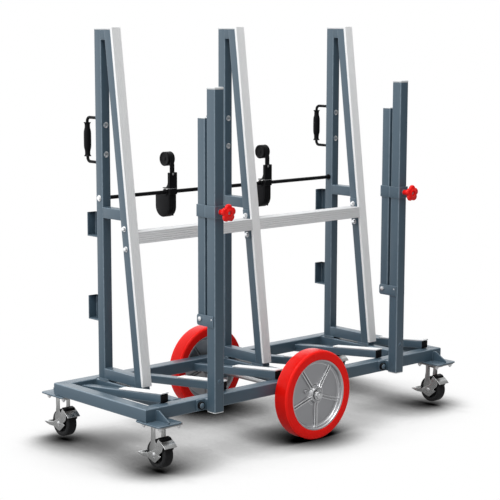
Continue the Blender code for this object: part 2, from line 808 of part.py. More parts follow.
def handle(number, x):
    """A bow handle on the back of a post: two strapped ends and a turned grip."""
    form = Form()
    half = handle_width / 2
    face = post_back + fit_gap
    grip_y = post_back + handle_reach
    for low, high, inner in ((handle_low, handle_low + handle_strap, handle_low + handle_foot),
                             (handle_high - handle_strap, handle_high, handle_high - handle_foot)):
        reach = grip_y + handle_grip_radius / 2
        form.prism(rounded(rectangle((face, reach), (low, high)), handle_strap / 4), "X", x - half, x + half)
        foot = sorted((inner, (low + high) / 2))
        form.block((x - half, x + half), (face, face + handle_strap / 2), foot)
    low = handle_low + handle_strap / 2
    high = handle_high - handle_strap / 2
    profile = [(0, low), (handle_strap / 2, low)]
    start = handle_low + handle_grip_inset
    end = handle_high - handle_grip_inset
    profile.append((handle_strap / 2, start))
    for step in range(handle_steps + 1):
        share = step / handle_steps
        radius = handle_grip_radius - handle_waist * math.cos(2 * math.pi * share) ** 2
        profile.append((radius, start + (end - start) * share))
    profile += [(handle_strap / 2, end), (handle_strap / 2, high), (0, high)]
    form.turned(profile, "Z", (x, grip_y), round_sides)
    piece(f"bow_handle_{number}", black, form)


def axle():
    """The axle through both hangers, stepped down at the wheels and closed by a nut at each end."""
    form = Form()
    shoulder = wheel_inner_face - fit_gap
    hub_face = wheel_outer_face - hub_drop
    washer = hub_face + fit_gap
    nut = washer + axle_washer_height
    end = nut + axle_nut_height
    form.turned([(0, -nut), (axle_washer, -nut), (axle_washer, -washer), (stub_radius, -washer),
                 (stub_radius, -shoulder), (axle_radius, -shoulder), (axle_radius, shoulder),
                 (stub_radius, shoulder), (stub_radius, washer), (axle_washer, washer), (axle_washer, nut), (0, nut)],
                "Y", (0, axle_z), round_sides)
    for side in (-1, 1):
        form.hexagon(axle_nut, "Y", (0, axle_z), *sorted((side * (nut - axle_washer_height / 2), side * end)))
    piece("wheel_axle", steel, form)


def centre_wheel(name, side):
    """A cast rim with five pairs of ribs and a bonded tread."""
    form = Form()
    middle = side * (wheel_outer_face - wheel_width / 2)
    half = wheel_width / 2
    bore = stub_radius + fit_gap
    web = rim_radius - rim_lip
    lip = half - rim_lip_drop
    hub = half - hub_drop
    ring = [(bore, -half), (hub_radius, -half), (hub_radius, -web_half), (web - rim_lip, -web_half), (web, -lip),
            (rim_radius, -lip), (rim_radius, -half), (wheel_radius - tread_edge, -half),
            (wheel_radius, -half + tread_edge), (wheel_radius, half - tread_edge),
            (wheel_radius - tread_edge, half), (rim_radius, half), (rim_radius, lip), (web, lip),
            (web - rim_lip, web_half), (hub_radius, web_half), (hub_radius, hub), (bore, hub)]
    corner = 1 / math.cos(math.pi / wheel_sides)
    profile = [(radius * corner, middle + side * along) for radius, along in ring]
    form.turned(profile, "Y", (0, axle_z), wheel_sides)
    inner = hub_radius - rib_thickness
    outer = web + rim_lip / 2
    for number in range(rib_count):
        turn = math.pi / 2 + 2 * math.pi * (number + 0.5) / rib_count
        for pair in (-1, 1):
            offset = pair * rib_spacing / 2
            corners = []
            for along, across in ((inner, -rib_thickness / 2), (outer, -rib_thickness / 2),
                                  (outer, rib_thickness / 2), (inner, rib_thickness / 2)):
                spread = across + offset
                corners.append((along * math.cos(turn) - spread * math.sin(turn),
                                axle_z + along * math.sin(turn) + spread * math.cos(turn)))
            form.prism(corners, "Y", *sorted((middle, middle + side * (half - rib_drop))))
    piece(name, red, form, pivot=(0, middle, axle_z))


def castor(name, side_x, side_y):
    """Fork, wheel and brake rocker of one castor, trailing towards +Y."""
    x = side_x * castor_places[side_x > 0]
    y = side_y * castor_y
    wheel_y = y + castor_trail
    radius = castor_radius

    def points(shares):
        return [(wheel_y + across * radius, castor_z + up * radius) for across, up in shares]

    fork = Form()
    cuts = Form()
    fork.prism(rounded(rectangle((x - fork_outer, x + fork_outer), (y - crown_front, y + crown_back)),
                       crown_front / 3), "Z", crown_low, crown_top)
    near, far = fork_column_shares
    shoulder = castor_z + fork_shoulder_share * radius
    outline = [(wheel_y + near * radius, shoulder), (wheel_y + near * radius, crown_top - crown_thickness / 2),
               (wheel_y + far * radius, crown_top - crown_thickness / 2), (wheel_y + far * radius, shoulder)]
    outline += points(fork_plate_shares)
    for side in (-1, 1):
        plate = sorted((x + side * fork_inner, x + side * fork_outer))
        fork.prism(outline, "X", *plate)
        head = sorted((x + side * (fork_inner + fork_wall / 2), x + side * (fork_outer + castor_nut_height)))
        fork.hexagon(castor_nut, "X", (wheel_y, castor_z), *head)
        pin = sorted((x + side * (fork_inner + fork_wall / 2), x + side * (brake_outer + brake_pin_head)))
        fork.rod(brake_pin_radius, "X", (wheel_y, brake_z), *pin, sides=castor_sides // 2)
    fork.rod(castor_axle_radius, "X", (wheel_y, castor_z), x - fork_outer, x + fork_outer, sides=castor_sides // 2)
    cuts.rod(hole(kingpin_radius), "Z", (x, y), crown_low - fork_wall, crown_top + fork_wall)
    swivel = piece(f"castor_fork_{name}", zinc, fork, cuts, pivot=(x, y, crown_top))

    wheel = Form()
    half = castor_width / 2
    hub = half + castor_hub_stand
    bore = castor_axle_radius + fit_gap
    web = half - castor_dish
    ring = [(bore, -hub), (castor_hub_radius, -hub), (castor_hub_radius, -web), (castor_rim_radius, -web),
            (castor_rim_radius, -half), (radius - castor_edge, -half), (radius, -half + castor_edge),
            (radius, half - castor_edge), (radius - castor_edge, half), (castor_rim_radius, half),
            (castor_rim_radius, web), (castor_hub_radius, web), (castor_hub_radius, hub), (bore, hub)]
    corner = 1 / math.cos(math.pi / castor_sides)
    profile = [(ring_radius * corner, x + along) for ring_radius, along in ring]
    wheel.turned(profile, "X", (wheel_y, castor_z), castor_sides)
    piece(f"castor_wheel_{name}", black, wheel, pivot=(x, wheel_y, castor_z), parent=swivel)

    rocker = Form()
    slots = Form()
    centre = (wheel_y, castor_z)
    rocker.prism(points(brake_shoe_shares), "X", x - brake_outer, x + brake_outer)
    cheek = points(brake_cheek_shares)
    bar = points(brake_arm_shares)
    for side in (-1, 1):
        plate = sorted((x + side * brake_inner, x + side * brake_outer))
        rocker.prism(cheek, "X", *plate)
        rocker.prism(bar, "X", *plate)
        span = sorted((x + side * (brake_inner - fit_gap), x + side * (brake_outer + brake_wall)))
        slots.rod(hole(brake_pin_radius, castor_sides // 2), "X", (wheel_y, brake_z), *span, sides=castor_sides // 2)
        slots.rod(castor_nut + brake_travel_room, "X", centre, *span)
    rocker.prism(points(pedal_shares), "X", x - brake_outer, x + brake_outer)
    piece(f"castor_brake_{name}", zinc, rocker, slots, pivot=(x, wheel_y, brake_z), parent=swivel)


for old in list(bpy.data.objects):
    bpy.data.objects.remove(old, do_unlink=True)

frame_paint = material("frame_paint", (0.075, 0.115, 0.150), 0.45)
rubber = material("rubber", (0.58, 0.58, 0.57), 0.75)
black = material("black", (0.012, 0.012, 0.013), 0.5)
red = material("red", (0.80, 0.015, 0.012), 0.3)
zinc = material("zinc", (0.62, 0.62, 0.62), 0.35, 1.0)
steel = material("steel", (0.55, 0.55, 0.56), 0.3, 1.0)

cart = bpy.data.objects.new("cart", None)
bpy.context.scene.collection.objects.link(cart)
cart.location = (0, middle_shift, 0)
pivots["cart"] = (0, 0, 0)

long_rail("front_rail", -1)
long_rail("rear_rail", 1)
end_rail("end_rail_left", -1)
end_rail("end_rail_right", 1)
frame_places = [-frame_pitch, 0, frame_pitch]
for number, frame_x in enumerate(frame_places, start=1):
    cross_member(f"cross_member_{number}", frame_x, carries_axle=number == 2)
    a_frame(f"a_frame_{number}", frame_x, has_pockets=number != 2)
    leg_rubber(f"leg_rubber_{number}", frame_x)
    handle(number, frame_x)
for number, frame_x in enumerate(frame_places[:-1], start=1):
    rail_start = frame_x + tube_size / 2 + fit_gap
    rail_end = frame_x + frame_pitch - tube_size / 2 - fit_gap
    mid_rail(f"mid_rail_{number}", rail_start, rail_end)
for number in range(1, arm_count + 1):
    support_arm(number)
cross_rod()
for number, hook_x in enumerate(hook_places, start=1):
    hook_unit(number, hook_x)
for side_name, post_x in zip(("left", "right"), post_places):
    side_post(side_name, post_x)
axle()
centre_wheel("centre_wheel_front", -1)
centre_wheel("centre_wheel_rear", 1)
for castor_name, sign_x, sign_y in (("front_left", -1, -1), ("front_right", 1, -1),
                                    ("rear_left", -1, 1), ("rear_right", 1, 1)):
    castor(castor_name, sign_x, sign_y)
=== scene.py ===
# %% [markdown]
# A slab buggy is a workshop cart for stone slabs that stand on edge. Square tube is cut, welded
# and powder coated; rubber strips face the slabs; castors, wheels, clamps and handles are bolted
# on. The CAD model gives the true places and joints, so this lesson starts from it and dresses
# every part: rounded tube edges, weld beads, bolts, cast ribs and real finishes.

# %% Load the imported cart
import math

import bmesh
import bpy
import numpy as np
from mathutils import Matrix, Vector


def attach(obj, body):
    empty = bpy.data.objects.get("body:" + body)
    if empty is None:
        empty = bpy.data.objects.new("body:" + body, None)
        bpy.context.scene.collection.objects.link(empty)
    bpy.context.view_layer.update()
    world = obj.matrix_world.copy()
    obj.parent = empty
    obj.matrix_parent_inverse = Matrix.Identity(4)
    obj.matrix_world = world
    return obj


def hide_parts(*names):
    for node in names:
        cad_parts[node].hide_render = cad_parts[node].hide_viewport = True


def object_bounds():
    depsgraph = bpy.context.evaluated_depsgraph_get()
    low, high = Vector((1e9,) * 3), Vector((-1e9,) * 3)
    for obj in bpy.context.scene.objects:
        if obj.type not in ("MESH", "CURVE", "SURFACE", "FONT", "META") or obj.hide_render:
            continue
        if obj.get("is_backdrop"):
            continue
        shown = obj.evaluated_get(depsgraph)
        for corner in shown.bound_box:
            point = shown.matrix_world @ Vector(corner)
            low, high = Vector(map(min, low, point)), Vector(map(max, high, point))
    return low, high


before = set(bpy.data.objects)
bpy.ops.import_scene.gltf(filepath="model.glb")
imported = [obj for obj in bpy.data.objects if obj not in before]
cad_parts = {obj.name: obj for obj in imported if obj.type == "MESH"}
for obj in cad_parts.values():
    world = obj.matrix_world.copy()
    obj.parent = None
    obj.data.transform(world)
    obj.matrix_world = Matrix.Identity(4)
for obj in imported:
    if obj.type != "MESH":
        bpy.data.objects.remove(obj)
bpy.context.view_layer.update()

# %% [markdown]
# Shapes are worked out about the middle of the chassis, which is easier to think about than the
# middle of the outline. The whole cart then moves by one shift in Y. The sizes that many pieces
# share are named once here, in metres.

# %% Sizes that many pieces share
shift = 0.00565
rail = 0.045
rail_low = 0.180
rail_high = 0.225
half_length = 0.750
half_width = 0.265
inner_width = half_width - rail
tube = 0.038
corner = 0.004
lean = math.radians(7.2)
slope = math.tan(lean)
frame_top = 1.479
frame_places = np.array([-0.577, 0.0, 0.577])
post_face = 0.1657
post_back = post_face + tube
leg_depth = tube / math.cos(lean)
leg_top = post_face - 0.0182 - leg_depth
deck = rail_high + 0.0003
foot_low = deck + 0.007
tie_height = 0.837


def leg_front(height):
    """Y of the leaning face: the face at the top, less the drop times the slope."""
    return leg_top - (frame_top - height) * slope


# %% [markdown]
# A surface here is three things: its points, its faces and one number per point that says how
# exposed that point is, 1 on a rounded edge and 0 on a flat. Later that number lightens the colour
# along rounded edges: a painted highlight, together with wear. Numpy works out all points of a
# shape at once, so a shape is a formula and not a loop.

# %% Outlines
def ring_outline(width, height, radius=corner, steps=4):
    """Rounded rectangle: a quarter circle of the radius about each of the four corner centres."""
    turn = np.linspace(0, math.pi / 2, steps + 1)
    signs = np.array([[1, 1], [-1, 1], [-1, -1], [1, -1]])
    centres = signs * (np.array([width, height]) / 2 - radius)
    turns = turn[None, :] + (np.arange(4) * math.pi / 2)[:, None]
    round_part = radius * np.stack([np.cos(turns), np.sin(turns)], -1)
    points = (centres[:, None, :] + round_part).reshape(-1, 2)
    return points, np.tile(np.sin(2 * turn), 4)


def soften(corners, cut, steps=4):
    """Each corner becomes a curve: (1-t)^2 start + 2t(1-t) corner + t^2 end, cut back by cut."""
    corners = np.asarray(corners, float)
    before = np.roll(corners, 1, 0) - corners
    after = np.roll(corners, -1, 0) - corners
    one = np.linalg.norm(before, axis=1)
    two = np.linalg.norm(after, axis=1)
    reach = np.minimum(cut, np.minimum(one, two) * 0.499)
    start = corners + before / one[:, None] * reach[:, None]
    end = corners + after / two[:, None] * reach[:, None]
    t = np.linspace(0, 1, steps + 1)[None, :, None]
    points = (1 - t) ** 2 * start[:, None] + 2 * t * (1 - t) * corners[:, None] + t ** 2 * end[:, None]
    sheen_and_wear = np.tile((4 * t * (1 - t)).ravel(), len(corners))
    return points.reshape(-1, 2), sheen_and_wear


def arc(centre, radius, start, end, steps=16):
    """Points at the radius from the centre, with the turn going evenly from start to end."""
    turn = np.radians(np.linspace(start, end, steps + 1))
    return np.stack([centre[0] + radius * np.cos(turn), centre[1] + radius * np.sin(turn)], -1)


# %% [markdown]
# Nearly all parts of this cart are an outline that is carried along a straight line: tubes,
# plates, gussets, brackets. A real edge is never razor sharp, so the outline starts a little
# inside, swells along a quarter circle to its full size, and shrinks again at the far end. That
# thin round is what catches the light.

# %% Carry an outline along an axis
AXES = {"X": [2, 0, 1], "Y": [0, 2, 1], "Z": [0, 1, 2]}


def push_of(outline):
    """How each point moves for a unit of inset: the sum of its two edge normals, made true."""
    edge = np.roll(outline, -1, 0) - outline
    edge /= np.linalg.norm(edge, axis=1)[:, None] + 1e-12
    area = np.sum(outline[:, 0] * np.roll(outline[:, 1], -1) - np.roll(outline[:, 0], -1) * outline[:, 1])
    normal = np.stack([-edge[:, 1], edge[:, 0]], -1) * np.sign(area)
    before = np.roll(normal, 1, 0)
    return (normal + before) / (1.0 + np.sum(normal * before, 1))[:, None].clip(0.3)


def grid_faces(rows, columns, wrap_rows=False, wrap_columns=True):
    """Quads between neighbouring points of a grid, where wrapped directions close on themselves."""
    r = np.arange(rows if wrap_rows else rows - 1)[:, None]
    c = np.arange(columns if wrap_columns else columns - 1)[None, :]
    r2 = (r + 1) % rows
    c2 = (c + 1) % columns
    quads = np.stack([r * columns + c, r * columns + c2, r2 * columns + c2, r2 * columns + c], -1)
    return quads.reshape(-1, 4).tolist()


def carry(outline, axis, start, end, bevel=0.0008, sheen_and_wear=None, steps=3):
    """Row k is the outline set in by bevel(1 - sin a), at bevel(1 - cos a) from its end."""
    outline = np.asarray(outline, float)
    sheen_and_wear = np.zeros(len(outline)) if sheen_and_wear is None else sheen_and_wear
    bevel = min(bevel, abs(end - start) * 0.49)
    turn = np.linspace(0, math.pi / 2, steps + 1)
    inset = bevel * (1 - np.sin(turn))
    along = bevel * (1 - np.cos(turn))
    low, high = min(start, end), max(start, end)
    insets = np.concatenate([inset, inset[::-1]])
    places = np.concatenate([low + along, high - along[::-1]])
    fade = np.concatenate([turn, turn[::-1]])
    flat = outline[None] + push_of(outline)[None] * insets[:, None, None]
    place = np.broadcast_to(places[:, None, None], flat.shape[:2] + (1,))
    points = np.concatenate([flat, place], -1)[..., AXES[axis]]
    edge = np.maximum(np.sin(2 * fade)[:, None], sheen_and_wear[None] * np.sin(fade)[:, None])
    rows, columns = flat.shape[:2]
    faces = grid_faces(rows, columns)
    faces.append(list(range(columns)))
    faces.append(list(range((rows - 1) * columns, rows * columns)))
    return points.reshape(-1, 3), faces, edge.ravel()


def bar(x, y, z, axis="Z", radius=corner, bevel=0.0008):
    """A rounded box between low and high X, Y and Z, with its long edges along the axis."""
    spans = {"X": (y, z, x), "Y": (x, z, y), "Z": (x, y, z)}[axis]
    (a0, a1), (b0, b1), (c0, c1) = spans
    outline, sheen_and_wear = ring_outline(abs(a1 - a0), abs(b1 - b0), min(radius, abs(a1 - a0) * 0.49, abs(b1 - b0) * 0.49))
    return carry(outline + [(a0 + a1) / 2, (b0 + b1) / 2], axis, c0, c1, bevel, sheen_and_wear)


def sheared(surface, target, source, amount, start=0.0):
    """One coordinate grows by amount times the distance of another from start."""
    points, faces, edge = surface
    points = points.copy()
    points[:, target] += amount * (points[:, source] - start)
    return points, faces, edge


def moved(surface, by):
    return surface[0] + np.asarray(by, float), surface[1], surface[2]


# %% [markdown]
# Wheels, washers, pins and grips are turned: a profile of radius and place goes once round an
# axis. A hexagon is turned as well, with a radius that depends on the angle, and a cone that cuts
# its corners gives the chamfer that every bolt head has.

# %% Turn a profile, make bolts, lay weld beads
def turned(profile, axis, centre, sides=48, sheen_and_wear=None):
    """Point = centre + radius (cos turn, sin turn), at the profile's place along the axis."""
    profile = np.asarray(profile, float)
    turn = 2 * math.pi * (np.arange(sides) + 0.5) / sides
    radius = profile[:, 0][:, None]
    flat = np.stack([centre[0] + radius * np.cos(turn), centre[1] + radius * np.sin(turn)], -1)
    place = np.broadcast_to(profile[:, 1][:, None, None], flat.shape[:2] + (1,))
    points = np.concatenate([flat, place], -1)[..., AXES[axis]]
    ring = profile[0, 0] > 1e-6
    sheen_and_wear = np.zeros(len(profile)) if sheen_and_wear is None else np.asarray(sheen_and_wear, float)
    edge = np.repeat(sheen_and_wear, sides)
    return points.reshape(-1, 3), grid_faces(len(profile), sides, wrap_rows=ring), edge


def smooth_profile(corners, cut, closed=False, steps=3):
    """A turned profile whose inner corners are curves; its two ends stay where they are."""
    corners = np.asarray(corners, float)
    if closed:
        return soften(corners, cut, steps)
    points, sheen_and_wear = soften(corners, cut, steps)
    count = steps + 1
    inner = points[count:-count]
    return (np.concatenate([corners[:1], inner, corners[-1:]]),
            np.concatenate([[0], sheen_and_wear[count:-count], [0]]))


def turned_soft(corners, axis, centre, cut=0.0008, sides=48, closed=False):
    profile, sheen_and_wear = smooth_profile(corners, cut, closed)
    return turned(profile, axis, centre, sides, sheen_and_wear)


def hexagon(axis, centre, start, end, flats, sides=48):
    """Radius = the lesser of a hexagon, half flats / cos(turn in its sixth), and a chamfer cone."""
    half = flats / 2
    turn = 2 * math.pi * (np.arange(sides) + 0.5) / sides
    six = half / np.cos(np.mod(turn, math.pi / 3) - math.pi / 6)
    height = abs(end - start)
    depth = np.array([0, 0.04, 0.08, 0.13, 1.0]) * height
    cone = half * 0.94 + np.array([0, 0.30, 0.60, 1.0, 9.0]) * half * 0.22
    radius = np.minimum(six[None], cone[:, None])
    radius = np.concatenate([np.zeros((1, sides)), radius, np.zeros((1, sides))])
    depth = np.concatenate([[0], depth, [height]])
    place = end - np.sign(end - start) * depth
    flat = np.stack([centre[0] + radius * np.cos(turn), centre[1] + radius * np.sin(turn)], -1)
    place = np.broadcast_to(place[:, None, None], flat.shape[:2] + (1,))
    points = np.concatenate([flat, place], -1)[..., AXES[axis]]
    edge = np.repeat([0, 0, 0.5, 1, 0.5, 0, 0], sides).astype(float)
    return points.reshape(-1, 3), grid_faces(len(radius), sides), edge


def bolt(axis, centre, face, out, flats=0.013, height=0.006, washer=0.0):
    """A hexagon head that stands out from a face, on a washer where one is given."""
    parts = []
    sign = 1 if out > 0 else -1
    if washer:
        rim = face + sign * 0.0016
        parts.append(turned_soft([(0, face - sign * 0.0005), (washer, face - sign * 0.0005), (washer, rim), (0, rim)],
                                 axis, centre, 0.0004, 36))
        face = rim
    parts.append(hexagon(axis, centre, face - sign * 0.0003, face + sign * height, flats))
    return parts


def strand(path, radius, sides=10, closed_ends=True):
    """A round tube along a path: the point plus radius times (cos, sin) in a frame that turns with it."""
    path = np.asarray(path, float)
    radius = np.broadcast_to(radius, len(path)).astype(float)
    along = np.gradient(path, axis=0)
    along /= np.linalg.norm(along, axis=1)[:, None]
    guide = np.array([0.0, 0.0, 1.0]) if abs(along[:, 2]).max() < 0.9 else np.array([1.0, 0.0, 0.0])
    if abs(along @ guide).max() > 0.95:
        guide = np.array([0.36, 0.48, 0.8])
    one = np.cross(along, guide)
    one /= np.linalg.norm(one, axis=1)[:, None]
    two = np.cross(along, one)
    turn = 2 * math.pi * np.arange(sides) / sides
    ring = one[:, None] * np.cos(turn)[None, :, None] + two[:, None] * np.sin(turn)[None, :, None]
    points = path[:, None] + ring * radius[:, None, None]
    if closed_ends:
        points = np.concatenate([np.repeat(path[:1, None], sides, 1), points, np.repeat(path[-1:, None], sides, 1)])
    rows = len(points)
    return points.reshape(-1, 3), grid_faces(rows, sides), np.zeros(rows * sides)


def bead(start, end, radius=0.0022, pitch=0.0036):
    """A weld bead: radius (1 + 0.16 sin(2 pi place / pitch)), thin at its two ends."""
    start, end = np.asarray(start, float), np.asarray(end, float)
    length = np.linalg.norm(end - start)
    count = max(8, int(length / pitch * 4))
    t = np.linspace(0, 1, count)
    wave = 1 + 0.16 * np.sin(2 * math.pi * t * length / pitch)
    taper = np.minimum(1, np.minimum(t, 1 - t) * length / 0.004 + 0.25)
    return strand(start + (end - start) * t[:, None], radius * wave * taper, 8)


# %% [markdown]
# One function puts surfaces into a mesh. It welds double points, so poles and seams close, turns
# faces outwards, shades round parts smooth while it keeps real corners crisp, stores the edge
# number as an attribute, moves the piece by the shift, parents it to the empty of the body it
# rides on, and hides the CAD nodes it stands for.

# %% Make a piece
made = []


def make(name, surfaces, coat, body="cart", stands_for=(), crisp=38):
    points = np.concatenate([surface[0] for surface in surfaces]) + [0, shift, 0]
    edge = np.concatenate([surface[2] for surface in surfaces])
    starts = np.cumsum([0] + [len(surface[0]) for surface in surfaces])
    faces = [[index + start for index in face] for surface, start in zip(surfaces, starts) for face in surface[1]]
    mesh = bpy.data.meshes.new(name)
    mesh.from_pydata(points, [], faces)
    sheen_and_wear = mesh.attributes.new("edge", "FLOAT", "POINT")
    sheen_and_wear.data.foreach_set("value", edge.astype(np.float32))
    work = bmesh.new()
    work.from_mesh(mesh)
    bmesh.ops.remove_doubles(work, verts=work.verts, dist=1e-7)
    bmesh.ops.dissolve_degenerate(work, edges=work.edges, dist=1e-8)
    bmesh.ops.recalc_face_normals(work, faces=work.faces)
    work.to_mesh(mesh)
    work.free()
    mesh.shade_smooth()
    mesh.set_sharp_from_angle(angle=math.radians(crisp))
    thing = bpy.data.objects.new(name, mesh)
    bpy.context.scene.collection.objects.link(thing)
    thing.data.materials.append(coat)
    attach(thing, body)
    if stands_for:
        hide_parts(*stands_for)
    made.append(thing)
    return thing


# %% [markdown]
# Powder coat, rubber, moulded plastic, cast metal and zinc plate differ in colour, but they share
# effects: a fine skin, slow patches, pale edges that are a painted highlight and wear along rounded
# edges, dust on what faces up, and fine scratches. Each effect is one node group with named inputs,
# and every material places it with its own values.

# %% Node groups
def group(name, inputs, outputs):
    tree = bpy.data.node_groups.new(name, "ShaderNodeTree")
    for label, kind, value in inputs:
        socket = tree.interface.new_socket(name=label, in_out="INPUT", socket_type=kind)
        socket.default_value = value
    for label, kind in outputs:
        tree.interface.new_socket(name=label, in_out="OUTPUT", socket_type=kind)
    source = tree.nodes.new("NodeGroupInput")
    target = tree.nodes.new("NodeGroupOutput")
    source.location = (-900, 0)
    target.location = (700, 0)
    return tree, source, target


def node(tree, kind, place, **values):
    made_node = tree.nodes.new(kind)
    made_node.location = place
    for key, value in values.items():
        if hasattr(made_node, key):
            setattr(made_node, key, value)
        else:
            made_node.inputs[key.replace("_", " ")].default_value = value
    return made_node


def maths(tree, operation, place, first, second=None, clamp=False):
    one = node(tree, "ShaderNodeMath", place, operation=operation, use_clamp=clamp)
    for index, value in enumerate((first, second)):
        if value is None:
            continue
        if isinstance(value, (int, float)):
            one.inputs[index].default_value = value
        else:
            tree.links.new(value, one.inputs[index])
    return one.outputs[0]


FLOAT = "NodeSocketFloat"
COLOUR = "NodeSocketColor"
VECTOR = "NodeSocketVector"

skin, a, b = group("fine_skin", [("Position", VECTOR, (0, 0, 0)), ("Scale", FLOAT, 900.0), ("Coarse", FLOAT, 0.35)],
                   [("Height", FLOAT)])
fine = node(skin, "ShaderNodeTexNoise", (-500, 100), Detail=3.0, Roughness=0.55)
skin.links.new(a.outputs["Position"], fine.inputs["Vector"])
skin.links.new(a.outputs["Scale"], fine.inputs["Scale"])
coarse = node(skin, "ShaderNodeTexNoise", (-500, -200), Detail=2.0)
skin.links.new(a.outputs["Position"], coarse.inputs["Vector"])
skin.links.new(maths(skin, "MULTIPLY", (-700, -250), a.outputs["Scale"], 0.16), coarse.inputs["Scale"])
part_two = maths(skin, "MULTIPLY", (-200, -200), coarse.outputs["Fac"], a.outputs["Coarse"])
skin.links.new(maths(skin, "ADD", (100, 0), fine.outputs["Fac"], part_two), b.inputs["Height"])

patches, a, b = group("slow_patches", [("Position", VECTOR, (0, 0, 0)), ("Colour", COLOUR, (0.5, 0.5, 0.5, 1)),
                                       ("Scale", FLOAT, 6.0), ("Amount", FLOAT, 0.08)],
                      [("Colour", COLOUR), ("Mask", FLOAT)])
broad = node(patches, "ShaderNodeTexNoise", (-500, 0), Detail=4.0, Roughness=0.6)
patches.links.new(a.outputs["Position"], broad.inputs["Vector"])
patches.links.new(a.outputs["Scale"], broad.inputs["Scale"])
centred = maths(patches, "SUBTRACT", (-250, 0), broad.outputs["Fac"], 0.5)
gain = maths(patches, "ADD", (100, 0), maths(patches, "MULTIPLY", (-80, 0), centred, a.outputs["Amount"]), 1.0)
tint = node(patches, "ShaderNodeVectorMath", (300, 0), operation="SCALE")
patches.links.new(a.outputs["Colour"], tint.inputs[0])
patches.links.new(gain, tint.inputs["Scale"])
patches.links.new(tint.outputs[0], b.inputs["Colour"])
patches.links.new(broad.outputs["Fac"], b.inputs["Mask"])

# pale_edges lightens rounded edges by the edge number and a noise: a painted highlight, together with wear.
pale_edge_sheen_and_wear, a, b = group("pale_edges", [("Position", VECTOR, (0, 0, 0)), ("Edge", FLOAT, 0.0), ("Colour", COLOUR, (0.5, 0.5, 0.5, 1)),
                                  ("Sheen And Wear Colour", COLOUR, (0.8, 0.8, 0.8, 1)), ("Amount", FLOAT, 0.3),
                                  ("Scale", FLOAT, 60.0)], [("Colour", COLOUR), ("Mask", FLOAT)])
rough = node(pale_edge_sheen_and_wear, "ShaderNodeTexNoise", (-600, -100), Detail=5.0, Roughness=0.7)
pale_edge_sheen_and_wear.links.new(a.outputs["Position"], rough.inputs["Vector"])
pale_edge_sheen_and_wear.links.new(a.outputs["Scale"], rough.inputs["Scale"])
uneven = maths(pale_edge_sheen_and_wear, "MULTIPLY", (-350, -100), rough.outputs["Fac"], 1.6)
sheen_and_wear_mask = maths(pale_edge_sheen_and_wear, "MULTIPLY", (-150, 0), maths(pale_edge_sheen_and_wear, "MULTIPLY", (-350, 100), a.outputs["Edge"], uneven),
                  a.outputs["Amount"], clamp=True)
mixed = node(pale_edge_sheen_and_wear, "ShaderNodeMix", (200, 100), data_type="RGBA")
pale_edge_sheen_and_wear.links.new(sheen_and_wear_mask, mixed.inputs["Factor"])
pale_edge_sheen_and_wear.links.new(a.outputs["Colour"], mixed.inputs[6])
pale_edge_sheen_and_wear.links.new(a.outputs["Sheen And Wear Colour"], mixed.inputs[7])
pale_edge_sheen_and_wear.links.new(mixed.outputs[2], b.inputs["Colour"])
pale_edge_sheen_and_wear.links.new(sheen_and_wear_mask, b.inputs["Mask"])

dust, a, b = group("settled_dust", [("Position", VECTOR, (0, 0, 0)), ("Colour", COLOUR, (0.5, 0.5, 0.5, 1)),
                                    ("Dust Colour", COLOUR, (0.55, 0.54, 0.52, 1)), ("Amount", FLOAT, 0.2)],
                   [("Colour", COLOUR), ("Mask", FLOAT)])
geometry = node(dust, "ShaderNodeNewGeometry", (-700, 200))
upward = node(dust, "ShaderNodeSeparateXYZ", (-500, 200))
dust.links.new(geometry.outputs["Normal"], upward.inputs[0])
lifted = maths(dust, "POWER", (-300, 200), maths(dust, "MAXIMUM", (-400, 200), upward.outputs["Z"], 0.0), 3.0)
grains = node(dust, "ShaderNodeTexNoise", (-500, -100), Scale=38.0, Detail=8.0, Roughness=0.72)
dust.links.new(a.outputs["Position"], grains.inputs["Vector"])
fallen = maths(dust, "MULTIPLY", (-100, 100), maths(dust, "MULTIPLY", (-200, 0), lifted, grains.outputs["Fac"]),
               a.outputs["Amount"], clamp=True)
mixed = node(dust, "ShaderNodeMix", (200, 100), data_type="RGBA")
dust.links.new(fallen, mixed.inputs["Factor"])
dust.links.new(a.outputs["Colour"], mixed.inputs[6])
dust.links.new(a.outputs["Dust Colour"], mixed.inputs[7])
dust.links.new(mixed.outputs[2], b.inputs["Colour"])
dust.links.new(fallen, b.inputs["Mask"])

lines, a, b = group("fine_lines", [("Position", VECTOR, (0, 0, 0)), ("Stretch", VECTOR, (1, 1, 30)),
                                   ("Scale", FLOAT, 300.0)], [("Mask", FLOAT)])
stretched = node(lines, "ShaderNodeVectorMath", (-600, 0), operation="MULTIPLY")
lines.links.new(a.outputs["Position"], stretched.inputs[0])
lines.links.new(a.outputs["Stretch"], stretched.inputs[1])
drawn = node(lines, "ShaderNodeTexNoise", (-300, 0), Detail=4.0, Roughness=0.65)
lines.links.new(stretched.outputs[0], drawn.inputs["Vector"])
lines.links.new(a.outputs["Scale"], drawn.inputs["Scale"])
lines.links.new(drawn.outputs["Fac"], b.inputs["Mask"])
print("node groups", [tree.name for tree in bpy.data.node_groups])

# %% [markdown]
# Every finish of the cart is one Principled shader. Its colour goes through patches, edges and
# dust in that order; its roughness moves a little with the patches; and a Bump node raises the
# fine skin. Numbers that are the same all over the surface are set on the shader itself.

